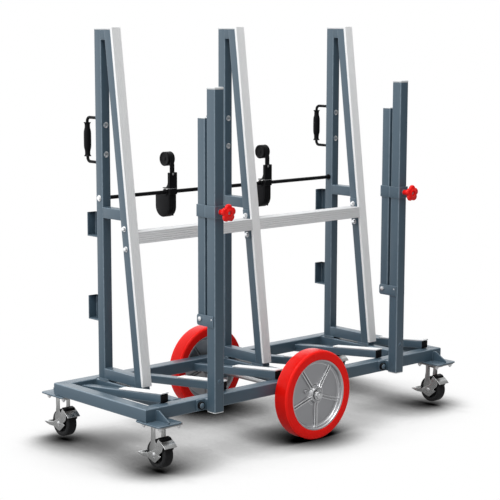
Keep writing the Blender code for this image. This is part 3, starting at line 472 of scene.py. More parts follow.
# %% Finishes
def finish(name, colour, roughness, metallic=0.0, skin_scale=900.0, skin_depth=0.00003, patch=0.10, patch_scale=7.0,
           edge_colour=None, edge_amount=0.0, dust_amount=0.0, rough_swing=0.12, stretch=None, coarse=0.35,
           specular=0.5, slot=None):
    paint = bpy.data.materials.new(name)
    paint["slot"] = slot or name
    paint.use_nodes = True
    tree = paint.node_tree
    shader = tree.nodes["Principled BSDF"]
    shader.location = (900, 0)
    shader.inputs["Metallic"].default_value = metallic
    shader.inputs["Specular IOR Level"].default_value = specular
    place = node(tree, "ShaderNodeTexCoord", (-1100, 0)).outputs["Object"]

    def placed(source, where):
        used = node(tree, "ShaderNodeGroup", where)
        used.node_tree = source
        tree.links.new(place, used.inputs["Position"])
        return used

    spots = placed(patches, (-700, 200))
    spots.inputs["Colour"].default_value = (*colour, 1.0)
    spots.inputs["Scale"].default_value = patch_scale
    spots.inputs["Amount"].default_value = patch
    last = spots.outputs["Colour"]
    # The edge colour paints a highlight along rounded edges, together with wear.
    if edge_amount:
        edges = placed(pale_edge_sheen_and_wear, (-400, 200))
        edges.inputs["Sheen And Wear Colour"].default_value = (*edge_colour, 1.0)
        edges.inputs["Amount"].default_value = edge_amount
        exposed = node(tree, "ShaderNodeAttribute", (-700, -50), attribute_name="edge")
        tree.links.new(exposed.outputs["Fac"], edges.inputs["Edge"])
        tree.links.new(last, edges.inputs["Colour"])
        last = edges.outputs["Colour"]
    if dust_amount:
        settled = placed(dust, (-100, 200))
        settled.inputs["Amount"].default_value = dust_amount
        tree.links.new(last, settled.inputs["Colour"])
        last = settled.outputs["Colour"]
    tree.links.new(last, shader.inputs["Base Color"])
    mask = spots.outputs["Mask"]
    if stretch:
        drawn_lines = placed(lines, (-400, -350))
        drawn_lines.inputs["Stretch"].default_value = stretch
        mask = drawn_lines.outputs["Mask"]
    swing = maths(tree, "MULTIPLY", (-100, -200), maths(tree, "SUBTRACT", (-250, -200), mask, 0.5), rough_swing * 2)
    tree.links.new(maths(tree, "ADD", (100, -200), swing, roughness, clamp=True), shader.inputs["Roughness"])
    grain = placed(skin, (-100, -500))
    grain.inputs["Scale"].default_value = skin_scale
    grain.inputs["Coarse"].default_value = coarse
    raised = node(tree, "ShaderNodeBump", (500, -400), Strength=1.0, Distance=skin_depth)
    tree.links.new(grain.outputs["Height"], raised.inputs["Height"])
    tree.links.new(raised.outputs["Normal"], shader.inputs["Normal"])
    return paint


# The edge colours of these finishes paint a highlight along rounded edges, together with wear.
frame_paint = finish("frame_paint", (0.064, 0.104, 0.138), 0.36, skin_scale=1400, skin_depth=0.00002, patch=0.10,
                     edge_colour=(0.28, 0.35, 0.41), edge_amount=0.70, dust_amount=0.05, specular=0.58)
grey_rubber = finish("grey_rubber", (0.86, 0.86, 0.855), 0.62, skin_scale=2200, skin_depth=0.00005, patch=0.07,
                     edge_colour=(0.92, 0.92, 0.92), edge_amount=0.3)
rail_rubber = finish("rail_rubber", (0.70, 0.70, 0.70), 0.62, skin_scale=2200, skin_depth=0.00005, patch=0.07,
                     edge_colour=(0.78, 0.78, 0.78), edge_amount=0.3, slot="grey_rubber")
black_steel = finish("black_steel", (0.006, 0.006, 0.007), 0.36, skin_scale=1500, skin_depth=0.00002,
                     edge_colour=(0.05, 0.05, 0.05), edge_amount=0.5, specular=0.12)
black_plastic = finish("black_plastic", (0.006, 0.006, 0.007), 0.42, skin_scale=2600, skin_depth=0.00003,
                       edge_colour=(0.025, 0.025, 0.025), edge_amount=0.6, specular=0.10)
red_plastic = finish("red_plastic", (0.90, 0.010, 0.008), 0.20, skin_scale=2000, skin_depth=0.00001, patch=0.06,
                     edge_colour=(0.95, 0.06, 0.05), edge_amount=0.3, specular=0.26)
# red_tread and red_side are one red in two shades: the rolling face painted darker, a painted shade, and the sides
# painted lighter, a painted light.
red_tread = finish("red_tread", (0.72, 0.006, 0.003), 0.24, skin_scale=700, skin_depth=0.00003, patch=0.06,
                   edge_colour=(0.80, 0.03, 0.02), edge_amount=0.20, specular=0.10)
red_side = finish("red_side", (0.96, 0.012, 0.008), 0.30, skin_scale=700, skin_depth=0.00002, patch=0.05,
                  edge_colour=(0.98, 0.05, 0.04), edge_amount=0.25, specular=0.10, slot="red_tread")
cast_aluminium = finish("cast_aluminium", (0.56, 0.56, 0.57), 0.40, metallic=1.0, skin_scale=900, skin_depth=0.00006,
                        patch=0.14, edge_colour=(0.95, 0.95, 0.95), edge_amount=0.9, rough_swing=0.15, coarse=0.8)
# cast_ridge is the cast metal made much brighter for the rib crests: a painted highlight.
cast_ridge = finish("cast_ridge", (0.94, 0.94, 0.94), 0.18, metallic=1.0, skin_scale=900, skin_depth=0.00003,
                    patch=0.08, rough_swing=0.10, slot="cast_aluminium")
zinc_steel = finish("zinc_steel", (0.42, 0.42, 0.41), 0.34, metallic=1.0, skin_scale=700, skin_depth=0.00002,
                    patch=0.12, patch_scale=40.0, edge_colour=(0.70, 0.70, 0.70), edge_amount=0.8, rough_swing=0.14)
# brake_zinc is the zinc made lighter, with whiter edges: a painted highlight on the brake.
brake_zinc = finish("brake_zinc", (0.50, 0.50, 0.49), 0.26, metallic=1.0, skin_scale=700, skin_depth=0.00002,
                    patch=0.12, patch_scale=40.0, edge_colour=(0.85, 0.85, 0.85), edge_amount=0.9, rough_swing=0.12,
                    slot="zinc_steel")
black_tyre = finish("black_tyre", (0.012, 0.012, 0.013), 0.60, skin_scale=1600, skin_depth=0.00008, patch=0.2,
                    edge_colour=(0.04, 0.04, 0.04), edge_amount=0.5, dust_amount=0.02, specular=0.20)
bright_steel = finish("bright_steel", (0.82, 0.82, 0.82), 0.30, metallic=1.0, skin_scale=600, skin_depth=0.00001,
                      stretch=(1, 12, 1), edge_colour=(0.9, 0.9, 0.9), edge_amount=0.8, rough_swing=0.10)
print("finishes", len([m for m in bpy.data.materials if m.node_tree]))

# %% [markdown]
# The chassis is a rectangle of square tube with mitred corners. The rounded section goes round the
# four corners of the rectangle: at each corner a point lies as far out in X as it does in Y, which
# is exactly a mitre. Weld beads run across the mitres.

# %% Chassis rails
section, sheen_and_wear = ring_outline(rail, rail, 0.0045)
signs = np.array([[1, 1], [-1, 1], [-1, -1], [1, -1]], float)
centre_x = half_length - rail / 2
centre_y = half_width - rail / 2
loop = np.zeros((4, len(section), 3))
loop[..., 0] = signs[:, :1] * (centre_x + section[None, :, 0])
loop[..., 1] = signs[:, 1:] * (centre_y + section[None, :, 0])
loop[..., 2] = (rail_low + rail_high) / 2 + section[None, :, 1]
rails = [(loop.reshape(-1, 3), grid_faces(4, len(section), wrap_rows=True), np.tile(sheen_and_wear, 4))]
mitres = []
for sx, sy in signs:
    outer = (sx * (half_length - 0.004), sy * (half_width - 0.004), rail_high - 0.0012)
    inner = (sx * (half_length - rail + 0.004), sy * (half_width - rail + 0.004), rail_high - 0.0012)
    mitres.append(bead(inner, outer, 0.0018))
    down = (sx * (half_length - 0.0028), sy * (half_width - 0.0028), rail_low + 0.004)
    mitres.append(bead((down[0], down[1], rail_high - 0.004), down, 0.0018))
make("chassis_rails", rails, frame_paint, stands_for=("end_rail_left", "end_rail_right", "front_rail", "rear_rail"))
make("chassis_mitre_welds", mitres, frame_paint)

# %% [markdown]
# Under each corner sits a plate that carries a castor, stiffened by a small gusset against the
# rail. The castor's own plate is zinc plated and bolted up to it, with the bolt ends hanging down,
# and below it is the swivel race with its kingpin nut.

# %% Corner plates, castor plates and races
corner_plate_x = 0.7035
castor_places = {-1: 0.6925, 1: 0.7035}
castor_y = 0.276
plate_low = rail_low - 0.005
castor_plate_low = plate_low - 0.006
race_low = castor_plate_low - 0.0065
CASTORS = {"front_left": (-1, -1), "front_right": (1, -1), "rear_left": (-1, 1), "rear_right": (1, 1)}
plates = []
mounts = []
races = []
fasteners = []
for label, (sx, sy) in CASTORS.items():
    cx, cy = sx * castor_places[sx], sy * castor_y
    outline, sheen_and_wear = ring_outline(0.107, 0.128, 0.012)
    plates.append(carry(outline + [sx * corner_plate_x, cy], "Z", plate_low, rail_low, 0.0010, sheen_and_wear))
    gx = sx * (half_length - 0.046)
    face = sy * (half_width - 0.001)
    far = sy * (half_width + 0.067)
    corners = [(face, rail_low), (far, rail_low), (far, rail_low + 0.008),
               (sy * (half_width + 0.016), rail_high - 0.008), (face, rail_high - 0.008)]
    outline, sheen_and_wear = soften(corners, 0.002)
    plates.append(carry(outline, "X", gx - 0.0025, gx + 0.0025, 0.0008, sheen_and_wear))
    for side in (-1, 1):
        foot = (gx + side * 0.0025, sy * half_width, rail_low)
        plates.append(bead(foot, (foot[0], foot[1], rail_high - 0.010), 0.0018))
        plates.append(bead(foot, (foot[0], sy * (half_width + 0.064), rail_low), 0.0018))
    outline, sheen_and_wear = ring_outline(0.104, 0.114, 0.012)
    mounts.append(carry(outline + [cx, cy], "Z", castor_plate_low, plate_low, 0.0009, sheen_and_wear))
    cup = [(0, castor_plate_low + 0.0002), (0.0325, castor_plate_low + 0.0002), (0.0335, race_low + 0.0044),
           (0.0310, race_low + 0.0042), (0, race_low + 0.0042)]
    mounts.append(turned_soft(cup, "Z", (cx, cy), 0.0010))
    gap = [(0, race_low + 0.0048), (0.0285, race_low + 0.0048), (0.0285, race_low + 0.0018), (0, race_low + 0.0018)]
    races.append(turned_soft(gap, "Z", (cx, cy), 0.0005))
    ring = [(0, race_low + 0.0020), (0.0300, race_low + 0.0020), (0.0328, race_low + 0.0014), (0.0328, race_low),
            (0.0, race_low)]
    mounts.append(turned_soft(ring, "Z", (cx, cy), 0.0006))
    mounts.append(turned_soft([(0, race_low), (0.0080, race_low), (0.0080, 0.1540), (0, 0.1540)],
                              "Z", (cx, cy), 0.0004, 36))
    mounts.append(hexagon("Z", (cx, cy), 0.1579, 0.1518, 0.0225))
    for bx in (-1, 1):
        for by in (-1, 1):
            spot = (cx + bx * 0.0400, cy + by * 0.0440)
            fasteners.extend(bolt("Z", spot, castor_plate_low, -1, 0.013, 0.0065, 0.0085))
            tip = [(0, castor_plate_low - 0.006), (0.0038, castor_plate_low - 0.006),
                   (0.0038, castor_plate_low - 0.0125), (0, castor_plate_low - 0.0125)]
            fasteners.append(turned_soft(tip, "Z", spot, 0.0008, 24))
make("corner_plates", plates, frame_paint, stands_for=("front_rail", "rear_rail"))
make("castor_plates", mounts, zinc_steel, stands_for=("front_rail", "rear_rail"))
make("castor_races", races, black_steel)
make("castor_bolts", fasteners, bright_steel)

# %% [markdown]
# The castors are pressed from zinc plated sheet. The fork has a crown and two legs, each a narrow
# column that widens to a diamond round the axle. A total-lock brake rocks on a pin under the
# axle: cheeks, a curved shoe with a black pad over the tread, and a pedal bent back like a loop.

# %% Castors
castor_radius = 0.050
castor_z = castor_radius + 0.016
crown_high = race_low - 0.0003
crown_low = crown_high - 0.004
fork_inner = 0.0211
fork_outer = 0.0241
brake_inner = 0.0244
brake_outer = 0.0269
brake_z = castor_z - 0.013


def shares(pairs, centre_y):
    """Points given as shares of the wheel's radius from its centre."""
    return np.array([centre_y, castor_z]) + np.array(pairs, float) * castor_radius


def castor_pieces(label, sx, sy):
    x, y = sx * castor_places[sx], sy * castor_y
    wy = y + 0.008
    fork = []
    outline, sheen_and_wear = ring_outline(2 * fork_outer, 0.066, 0.014)
    fork.append(carry(outline + [x, y + 0.003], "Z", crown_low, crown_high, 0.0014, sheen_and_wear))
    dome = [(0.0085, crown_low + 0.001), (0.027, crown_low + 0.001), (0.023, crown_low - 0.0022),
            (0.0145, crown_low - 0.0022), (0.0145, crown_low), (0.0085, crown_low)]
    fork.append(turned_soft(dome, "Z", (x, y), 0.0008, closed=True))
    near, far = wy - 0.0022, wy + 0.0185
    shoulder = castor_z + 0.045
    leg = np.concatenate([[(near, shoulder), (near, crown_high - 0.001), (far, crown_high - 0.001), (far, shoulder)],
                          shares([(0.58, 0.38), (0.56, 0.10), (0.32, -0.42), (-0.06, -0.46), (-0.40, -0.10),
                                  (-0.56, 0.30), (-0.22, 0.68)], wy)])
    rounds = np.array([0.005, 0.001, 0.001, 0.005, 0.007, 0.009, 0.007, 0.007, 0.008, 0.010, 0.006])
    outline, sheen_and_wear = soften(leg, rounds, 5)
    for side in (-1, 1):
        face = x + side * (fork_outer + 0.0008)
        fork.append(carry(outline, "X", x + side * fork_inner, x + side * fork_outer, 0.0009, sheen_and_wear))
        eye = [(0, x + side * 0.0209), (0.0088, x + side * 0.0209), (0.0088, face), (0, face)]
        fork.append(turned_soft(eye, "X", (wy, castor_z), 0.0005, 32))
        pin_end = x + side * (brake_outer + 0.0009)
        pin = [(0, x + side * 0.022), (0.0034, x + side * 0.022), (0.0034, pin_end), (0, pin_end + side * 0.0006)]
        fork.append(turned_soft(pin, "X", (wy, brake_z), 0.0008, 24))
        fork.append(bead((x + side * 0.0220, near + 0.001, crown_low), (x + side * 0.0220, far - 0.001, crown_low), 0.0012))
    make(f"fork_{label}", fork, zinc_steel, f"swivel_{label}", (f"castor_fork_{label}",))
    end = fork_outer + 0.002
    axle = [turned_soft([(0, x - end), (0.0040, x - end), (0.0040, x + end), (0, x + end)],
                        "X", (wy, castor_z), 0.0004, 24)]
    for side in (-1, 1):
        axle.extend(bolt("X", (wy, castor_z), x + side * fork_outer, side, 0.0135, 0.0048))
        root, tip = x + side * (fork_outer + 0.004), x + side * (fork_outer + 0.0068)
        axle.append(turned_soft([(0, root), (0.0036, root), (0.0036, tip), (0, tip)], "X", (wy, castor_z), 0.0006, 24))
    make(f"castor_axle_{label}", axle, bright_steel, f"swivel_{label}")

    half = 0.0200
    tyre = [(0.036, x - half), (0.041, x - half), (0.0480, x - half + 0.0012), (0.050, x - half + 0.0050),
            (0.050, x + half - 0.0050), (0.0480, x + half - 0.0012), (0.041, x + half), (0.036, x + half),
            (0.0345, x + half - 0.004), (0.0345, x - half + 0.004)]
    make(f"castor_tyre_{label}", [turned_soft(tyre, "X", (wy, castor_z), 0.0020, 72, closed=True)], black_tyre,
         f"roller_{label}", (f"castor_wheel_{label}",))
    core = [(0.0046, x - 0.0203), (0.0120, x - 0.0203), (0.0150, x - 0.0150), (0.0300, x - 0.0128),
            (0.0338, x - 0.0165), (0.0362, x - 0.0165), (0.0362, x + 0.0165), (0.0338, x + 0.0165),
            (0.0300, x + 0.0128), (0.0150, x + 0.0150), (0.0120, x + 0.0203), (0.0046, x + 0.0203)]
    spokes = []
    for turn in np.radians(np.arange(0, 360, 45)):
        across = 0.0012 * np.array([-math.sin(turn), math.cos(turn)])
        out = np.array([math.cos(turn), math.sin(turn)])
        corners = np.array([out * 0.0125 - across, out * 0.0330 - across, out * 0.0330 + across, out * 0.0125 + across])
        spokes.append(carry(corners + [wy, castor_z], "X", x - 0.0162, x + 0.0162, 0.0005))
    make(f"castor_core_{label}", [turned_soft(core, "X", (wy, castor_z), 0.0012, 60, closed=True)] + spokes,
         black_plastic, f"roller_{label}")

    rocker = []
    shoe, sheen_and_wear = soften(shares([(-0.42, 1.08), (-0.92, 0.75), (-1.15, 0.54), (-1.19, 0.59), (-0.96, 0.81),
                                (-0.45, 1.15)], wy), np.array([0.0010, 0.006, 0.0012, 0.0012, 0.006, 0.0010]), 5)
    rocker.append(carry(shoe, "X", x - brake_outer, x + brake_outer, 0.0009, sheen_and_wear))
    cheek, sheen_and_wear = soften(shares([(-0.44, 1.12), (-0.95, 0.78), (-0.89, 0.60), (-0.83, 0.33), (-0.46, 0.04),
                                 (-0.74, -0.02), (-0.08, -0.58), (0.14, -0.54), (0.62, -0.34), (0.62, 0.05),
                                 (0.30, 0.16), (-0.12, 0.45), (-0.20, 0.72)], wy), 0.0035, 4)
    arm, arm_worn = soften(shares([(0.46, 0.02), (0.46, -0.34), (1.24, -0.36), (1.24, -0.10)], wy), 0.003)
    for side in (-1, 1):
        rocker.append(carry(cheek, "X", x + side * brake_inner, x + side * brake_outer, 0.0008, sheen_and_wear))
        inset = x + side * (brake_outer - 0.0003)
        rocker.append(carry(arm, "X", x + side * (brake_inner + 0.0002), inset, 0.0008, arm_worn))
    pedal = shares([(1.10, -0.10), (1.60, -0.12), (1.80, -0.17), (1.79, -0.22), (1.50, -0.31), (1.10, -0.37)], wy)
    rounds = np.array([0.001, 0.006, 0.002, 0.002, 0.006, 0.001])
    outline, sheen_and_wear = soften(pedal, rounds, 4)
    rocker.append(carry(outline, "X", x - brake_outer + 0.0006, x + brake_outer - 0.0006, 0.0012, sheen_and_wear))
    for step in range(4):
        ry, rz = wy + castor_radius * (1.22 + 0.09 * step), castor_z - castor_radius * (0.105 + 0.006 * step)
        ridge = np.stack([np.linspace(x - 0.019, x + 0.019, 5), np.full(5, ry), np.full(5, rz + 0.0010)], -1)
        rocker.append(strand(ridge, 0.0009, 8))
    make(f"brake_{label}", rocker, brake_zinc, f"brake_{label}", (f"castor_brake_{label}",))
    pad, sheen_and_wear = soften(shares([(-0.27, 1.06), (-0.45, 1.10), (-0.74, 0.95), (-0.66, 1.14), (-0.33, 1.21)], wy), 0.002)
    make(f"brake_pad_{label}", [carry(pad, "X", x - 0.0225, x + 0.0225, 0.0012, sheen_and_wear)], black_plastic, f"brake_{label}")


for label, (sx, sy) in CASTORS.items():
    castor_pieces(label, sx, sy)
print("castors done", len(made), "pieces so far")

# %% [markdown]
# The three cross members lie between the long rails. The middle one has two hanger plates welded
# under it, and the axle of the centre wheels goes through both. Each joint has its weld bead.

# %% Cross members and axle hangers
for number, x in enumerate(frame_places, start=1):
    parts = [bar((x - tube / 2, x + tube / 2), (-inner_width, inner_width), (rail_low, rail_high), "Y")]
    for side in (-1, 1):
        y = side * inner_width
        parts.append(bead((x - tube / 2, y, rail_high), (x + tube / 2, y, rail_high), 0.0020))
        for across in (-1, 1):
            parts.append(bead((x + across * tube / 2, y, rail_low + 0.003), (x + across * tube / 2, y, rail_high - 0.003), 0.0020))
    if number == 2:
        for side in (-1, 1):
            y = side * 0.190
            plate, sheen_and_wear = soften([(-0.030, 0.1405), (0.030, 0.1405), (0.030, 0.1815), (-0.030, 0.1815)],
                                 np.array([0.014, 0.014, 0.002, 0.002]), 6)
            parts.append(carry(plate, "Y", y - 0.005, y + 0.005, 0.0010, sheen_and_wear))
            for face in (-1, 1):
                parts.append(bead((-0.018, y + face * 0.005, rail_low), (0.018, y + face * 0.005, rail_low), 0.0024))
    make(f"cross_tube_{number}", parts, frame_paint, stands_for=(f"cross_member_{number}",))

# %% [markdown]
# An A-frame is a post, a leg that leans against it and short tubes between the two. A leaning tube
# with level cuts is an upright one whose Y grows with its height, so the leg is the same rounded
# box with one shear. Frames one and three carry two open pockets on the back of the post.

# %% A-frames
half = tube / 2
tie_low, tie_high = tie_height - half, tie_height + half
foot_high = foot_low + tube
head_low = frame_top - 0.035


def leaning(front, back, low, high):
    """Outline in Y and Z between two offsets behind the leaning face."""
    return [(leg_front(low) + front, low), (leg_front(low) + back, low), (leg_front(high) + back, high), (leg_front(high) + front, high)]


def ring_of_beads(x0, x1, y, z0, z1, slant=0.0, radius=0.0020):
    """Beads round the end of a short tube that meets a face at y; slant moves the upper side in Y."""
    high = y + slant * (z1 - z0)
    return [bead((x0, y, z0), (x1, y, z0), radius), bead((x0, high, z1), (x1, high, z1), radius),
            bead((x0, y, z0), (x0, high, z1), radius), bead((x1, y, z0), (x1, high, z1), radius)]


for number, x in enumerate(frame_places, start=1):
    sides = (x - half, x + half)
    parts = [bar(sides, (post_face, post_back), (deck + 0.0068, frame_top), "Z")]
    leg = bar(sides, (leg_top, leg_top + leg_depth), (deck + 0.0068, frame_top), "Z")
    parts.append(sheared(leg, 1, 2, slope, frame_top))
    for low, high in ((head_low, frame_top - 0.0004), (tie_low, tie_high), (foot_low - 0.0002, foot_high)):
        start = leg_front(low) + leg_depth - 0.012
        parts.append(bar((sides[0] + 0.0004, sides[1] - 0.0004), (start, post_face + 0.012), (low, high), "Y", 0.002))
        welds = []
        if low != head_low:
            leg_back = leg_front(low) + leg_depth
            welds += ring_of_beads(x - half + 0.002, x + half - 0.002, leg_back, low, high, slope)
        welds += ring_of_beads(x - half + 0.002, x + half - 0.002, post_face, low, high)
        parts += welds
    foot = leg_front(foot_low)
    for low, high in ((foot, foot + 0.062), (post_back - 0.056, post_back)):
        parts.append(bar((x - half, x + half), (low, high), (deck, foot_low), "Z", 0.003, 0.0008))
        parts.append(bead((x - half, low + 0.004, deck + 0.001), (x - half, high - 0.004, deck + 0.001), 0.0016))
        parts.append(bead((x + half, low + 0.004, deck + 0.001), (x + half, high - 0.004, deck + 0.001), 0.0016))
    if number != 2:
        back = post_back + 0.055
        for low in (0.441, 0.745):
            high = low + 0.086
            folded, sheen_and_wear = soften([(x - half, back), (x + half, back), (x + half, post_back - 0.001), (x + half - 0.004, post_back - 0.001),
                                   (x + half - 0.004, back - 0.004), (x - half, back - 0.004)],
                                  np.array([0.0006, 0.004, 0.0006, 0.0006, 0.003, 0.0006]), 4)
            parts.append(carry(folded, "Z", low, high, 0.0008, sheen_and_wear))
            parts.append(bar((x - half, x + half - 0.002), (post_back - 0.001, back - 0.002), (low, low + 0.004), "X", 0.0008))
            parts.append(bead((x + half, post_back + 0.001, low + 0.003), (x + half, post_back + 0.001, high - 0.003), 0.0018))
            parts.append(bead((x - half + 0.002, post_back, low), (x + half - 0.002, post_back, low), 0.0018))
            parts.append(bead((x - half + 0.003, back - 0.004, low + 0.004), (x + half - 0.006, back - 0.004, low + 0.004), 0.0014))
    make(f"frame_tubes_{number}", parts, frame_paint, stands_for=(f"a_frame_{number}",))

# %% [markdown]
# Bright bolts sit where rails and handles are fixed. A mushroom head is a turned profile; the
# bolts of the rails are hexagons on washers.

# %% Bolts of the A-frames
rod_y = post_face + 0.019
rod_height = 0.887
pale_cap = finish("pale_cap", (0.70, 0.71, 0.71), 0.45, skin_scale=2600, skin_depth=0.00002, patch=0.05,
                  edge_colour=(0.85, 0.85, 0.85), edge_amount=0.3, slot="grey_rubber")
bolts = []


def mushroom(axis, centre, face, out, radius=0.0105, height=0.0042):
    """A domed head: height falls off as the square of the distance from the middle."""
    sign = 1 if out > 0 else -1
    share = np.linspace(0, 1, 8)
    dome = np.stack([share * radius, face + sign * height * (1 - 0.80 * share ** 2)], -1)
    profile = np.concatenate([dome, [(radius, face - sign * 0.0003), (0, face - sign * 0.0003)]])
    return turned(profile, axis, centre, 36, np.concatenate([np.zeros(7), [1, 0, 0]]))


for number, x in enumerate(frame_places, start=1):
    for height in (0.791, 0.720):
        y = leg_front(height) + leg_depth / 2
        if number == 1:
            bolts.extend(bolt("X", (y, height), x - half, -1, 0.014, 0.0065, 0.0100))
        if number == 3:
            bolts.extend(bolt("X", (y, height), x + half, 1, 0.014, 0.0065, 0.0100))
        for side in (-1, 1):
            if (number, side) not in ((1, -1), (3, 1)):
                plate = x + side * (half + 0.0043)
                bolts.extend(bolt("X", (y, height), plate, side, 0.014, 0.0065, 0.0100))
    for height in (1.147, 1.043):
        bolts.append(mushroom("Y", (x, height), post_face, -1))
    if number != 2:
        side = -1 if number == 1 else 1
        bolts.extend(bolt("X", (rod_y, rod_height), x + side * half, side, 0.0150, 0.0036, 0.0110))
make("frame_bolts", bolts, bright_steel)

# %% [markdown]
# Light rubber faces the slabs: a strip on each leg and on each middle rail. The strip is a flat
# bar with fine grooves along it. The grooves are cut into the outline itself, so they are real
# geometry: the front edge dips wherever a row of narrow valleys says so. On a leg the strip folds
# back over the tube tops, and on a middle rail it wraps over the tube's upper side.

# %% Rubber strips
def grooved(width, front, back, grooves=5, depth=0.0011):
    """Front edge = front + depth times a bell exp(-(d/0.7 mm)^2) round each groove's middle."""
    across = np.linspace(-width / 2 + 0.0012, width / 2 - 0.0012, 121)
    middles = (np.arange(grooves) - (grooves - 1) / 2) * width / (grooves + 0.6)
    valley = np.exp(-((across[:, None] - middles[None]) / 0.0007) ** 2).sum(1)
    edge = np.stack([across, front + depth * valley], -1)
    rest = np.array([(width / 2, front + 0.0012), (width / 2, back), (-width / 2, back), (-width / 2, front + 0.0012)])
    outline = np.concatenate([edge, rest])
    sheen_and_wear = np.concatenate([0.25 * (1 - valley.clip(0, 1)), [1, 0, 0, 1]])
    return outline, sheen_and_wear


strip = 0.010 / math.cos(lean)
for number, x in enumerate(frame_places, start=1):
    outline, sheen_and_wear = grooved(0.039, leg_top - 0.0003 - strip, leg_top - 0.0003)
    face = carry(outline + [x, 0], "Z", foot_low + 0.007, frame_top + 0.0090, 0.0010, sheen_and_wear)
    fold = bar((x - 0.0192, x + 0.0192), (leg_top - 0.004, post_back), (frame_top + 0.0002, frame_top + 0.0087),
               "Y", 0.0020, 0.0015)
    make(f"leg_strip_{number}", [sheared(face, 1, 2, slope, frame_top), fold], grey_rubber,
         stands_for=(f"leg_rubber_{number}",))

mid_height = 0.758
for number, x in enumerate(frame_places[:2], start=1):
    start, end = x + half + 0.0003, x + 0.577 - half - 0.0003
    outline, sheen_and_wear = soften(leaning(0, leg_depth, mid_height - half, mid_height + half), 0.004)
    parts = [carry(outline, "X", start + 0.001, end - 0.001, 0.0005, sheen_and_wear)]
    plate, sheen_and_wear = soften(leaning(0.004, leg_depth - 0.004, 0.703, 0.813), 0.004)
    for low, high, side in ((start, start + 0.004, 1), (end - 0.004, end, -1)):
        parts.append(carry(plate, "X", low, high, 0.0008, sheen_and_wear))
        face = high if side > 0 else low
        welds = leaning(0.001, leg_depth - 0.001, mid_height - half, mid_height + half)
        for one, two in zip(welds, welds[1:] + welds[:1]):
            parts.append(bead((face, *one), (face, *two), 0.0020))
    make(f"middle_tube_{number}", parts, frame_paint, stands_for=(f"mid_rail_{number}",))
    tall = tube + 0.0036
    outline, sheen_and_wear = grooved(tall, 0.0, strip)
    over = strip + 0.0003 + leg_depth
    wrap = np.array([(tall / 2, 0.0014), (tall / 2, over), (tall / 2 - 0.0028, over), (tall / 2 - 0.0028, strip),
                     (-tall / 2, strip), (-tall / 2, 0.0012)])
    outline = np.concatenate([outline[:121], wrap])
    sheen_and_wear = np.concatenate([sheen_and_wear[:121], [1, 1, 0, 0, 0, 1]])
    lying = np.stack([outline[:, 1] + leg_front(mid_height) - 0.0003 - strip, outline[:, 0] + mid_height + 0.0012], -1)
    surface = carry(lying, "X", x + 0.0197, x + 0.577 - 0.0197, 0.0005, sheen_and_wear)
    make(f"rail_strip_{number}", [sheared(surface, 1, 2, slope, mid_height)], rail_rubber)

# %% [markdown]
# The slabs stand on six sloping arms. Each rests on the front rail and meets the rear rail low
# down, so it tips the slab back against the legs. The slope is again one shear, this time Z with
# Y. A pale pad lies on the outer half, and a black plug closes the tube.

# %% Support arms
rise = (deck - rail_low) / (2 * inner_width)
arm_angle = math.atan(rise)
arm_up = 0.030 / math.cos(arm_angle)
pad_up = 0.005 / math.cos(arm_angle)
arm_places = 0.6885 - 0.2665 * np.arange(5, -1, -1)


def sloped(surface):
    """Z = Z above the arm's underside + rail_low + rise (inner_width - Y)."""
    return moved(sheared(surface, 2, 1, -rise, inner_width), (0, 0, rail_low))


plugs = []
for number, x in enumerate(arm_places, start=1):
    outline, sheen_and_wear = ring_outline(0.032, arm_up - 0.0003, 0.0035)
    arm_tube = carry(outline + [x, (arm_up + 0.0003) / 2], "Y", -0.231, inner_width - 0.0003, 0.0006, sheen_and_wear)
    parts = [sloped(arm_tube)]
    for side in (-1, 1):
        end = x + side * 0.015
        parts.append(bead((end, inner_width - 0.0006, rail_low + 0.004), (end, inner_width - 0.0006, rail_low + 0.028), 0.0019))
        end = x + side * 0.0155
        parts.append(bead((end, -inner_width - 0.006, deck), (end, -0.2290, deck), 0.0019))
    make(f"arm_tube_{number}", parts, frame_paint, stands_for=(f"support_arm_{number}",))
    outline, sheen_and_wear = ring_outline(0.0335, pad_up, 0.0014)
    pad = carry(outline + [x, arm_up + 0.0003 + pad_up / 2], "Y", -0.2372, 0.0, 0.0014, sheen_and_wear)
    make(f"arm_rubber_{number}", [sloped(pad)], grey_rubber, stands_for=(f"arm_pad_{number}",))
    outline, sheen_and_wear = ring_outline(0.0310, arm_up - 0.0012, 0.0035)
    plugs.append(sloped(carry(outline + [x, arm_up / 2 + 0.0002], "Y", -0.2352, -0.2305, 0.0016, sheen_and_wear)))
    outline, sheen_and_wear = ring_outline(0.0190, arm_up * 0.58, 0.003)
    plugs.append(sloped(carry(outline + [x, arm_up / 2], "Y", -0.2372, -0.2350, 0.0010, sheen_and_wear)))
make("arm_plugs", plugs, black_plastic, stands_for=("arm_pad_1",))

# %% [markdown]
# A long rod runs through the three posts. On it hang two hook units: a collar that slides, a
# weighted block with a bracket, and a lever with a round head. The lever is one outline: a strap
# that runs up and over the head like a belt, with a wider turned head inside it.

# %% Rod and hook units
rod_end = 0.577 + half + 0.004
rod = [turned_soft([(0, -rod_end), (0.0070, -rod_end), (0.0070, rod_end), (0, rod_end)], "X", (rod_y, rod_height), 0.0012, 32)]
for x in frame_places:
    for side in (-1, 1):
        if (x < 0 and side < 0) or (x > 0 and side > 0):
            continue
        face, far = x + side * half, x + side * (half + 0.0018)
        rod.append(turned_soft([(0.0069, face), (0.0112, face), (0.0112, far), (0.0069, far)], "X", (rod_y, rod_height),
                               0.0004, 32, closed=True))
make("long_rod", rod, black_steel, stands_for=("cross_rod",))

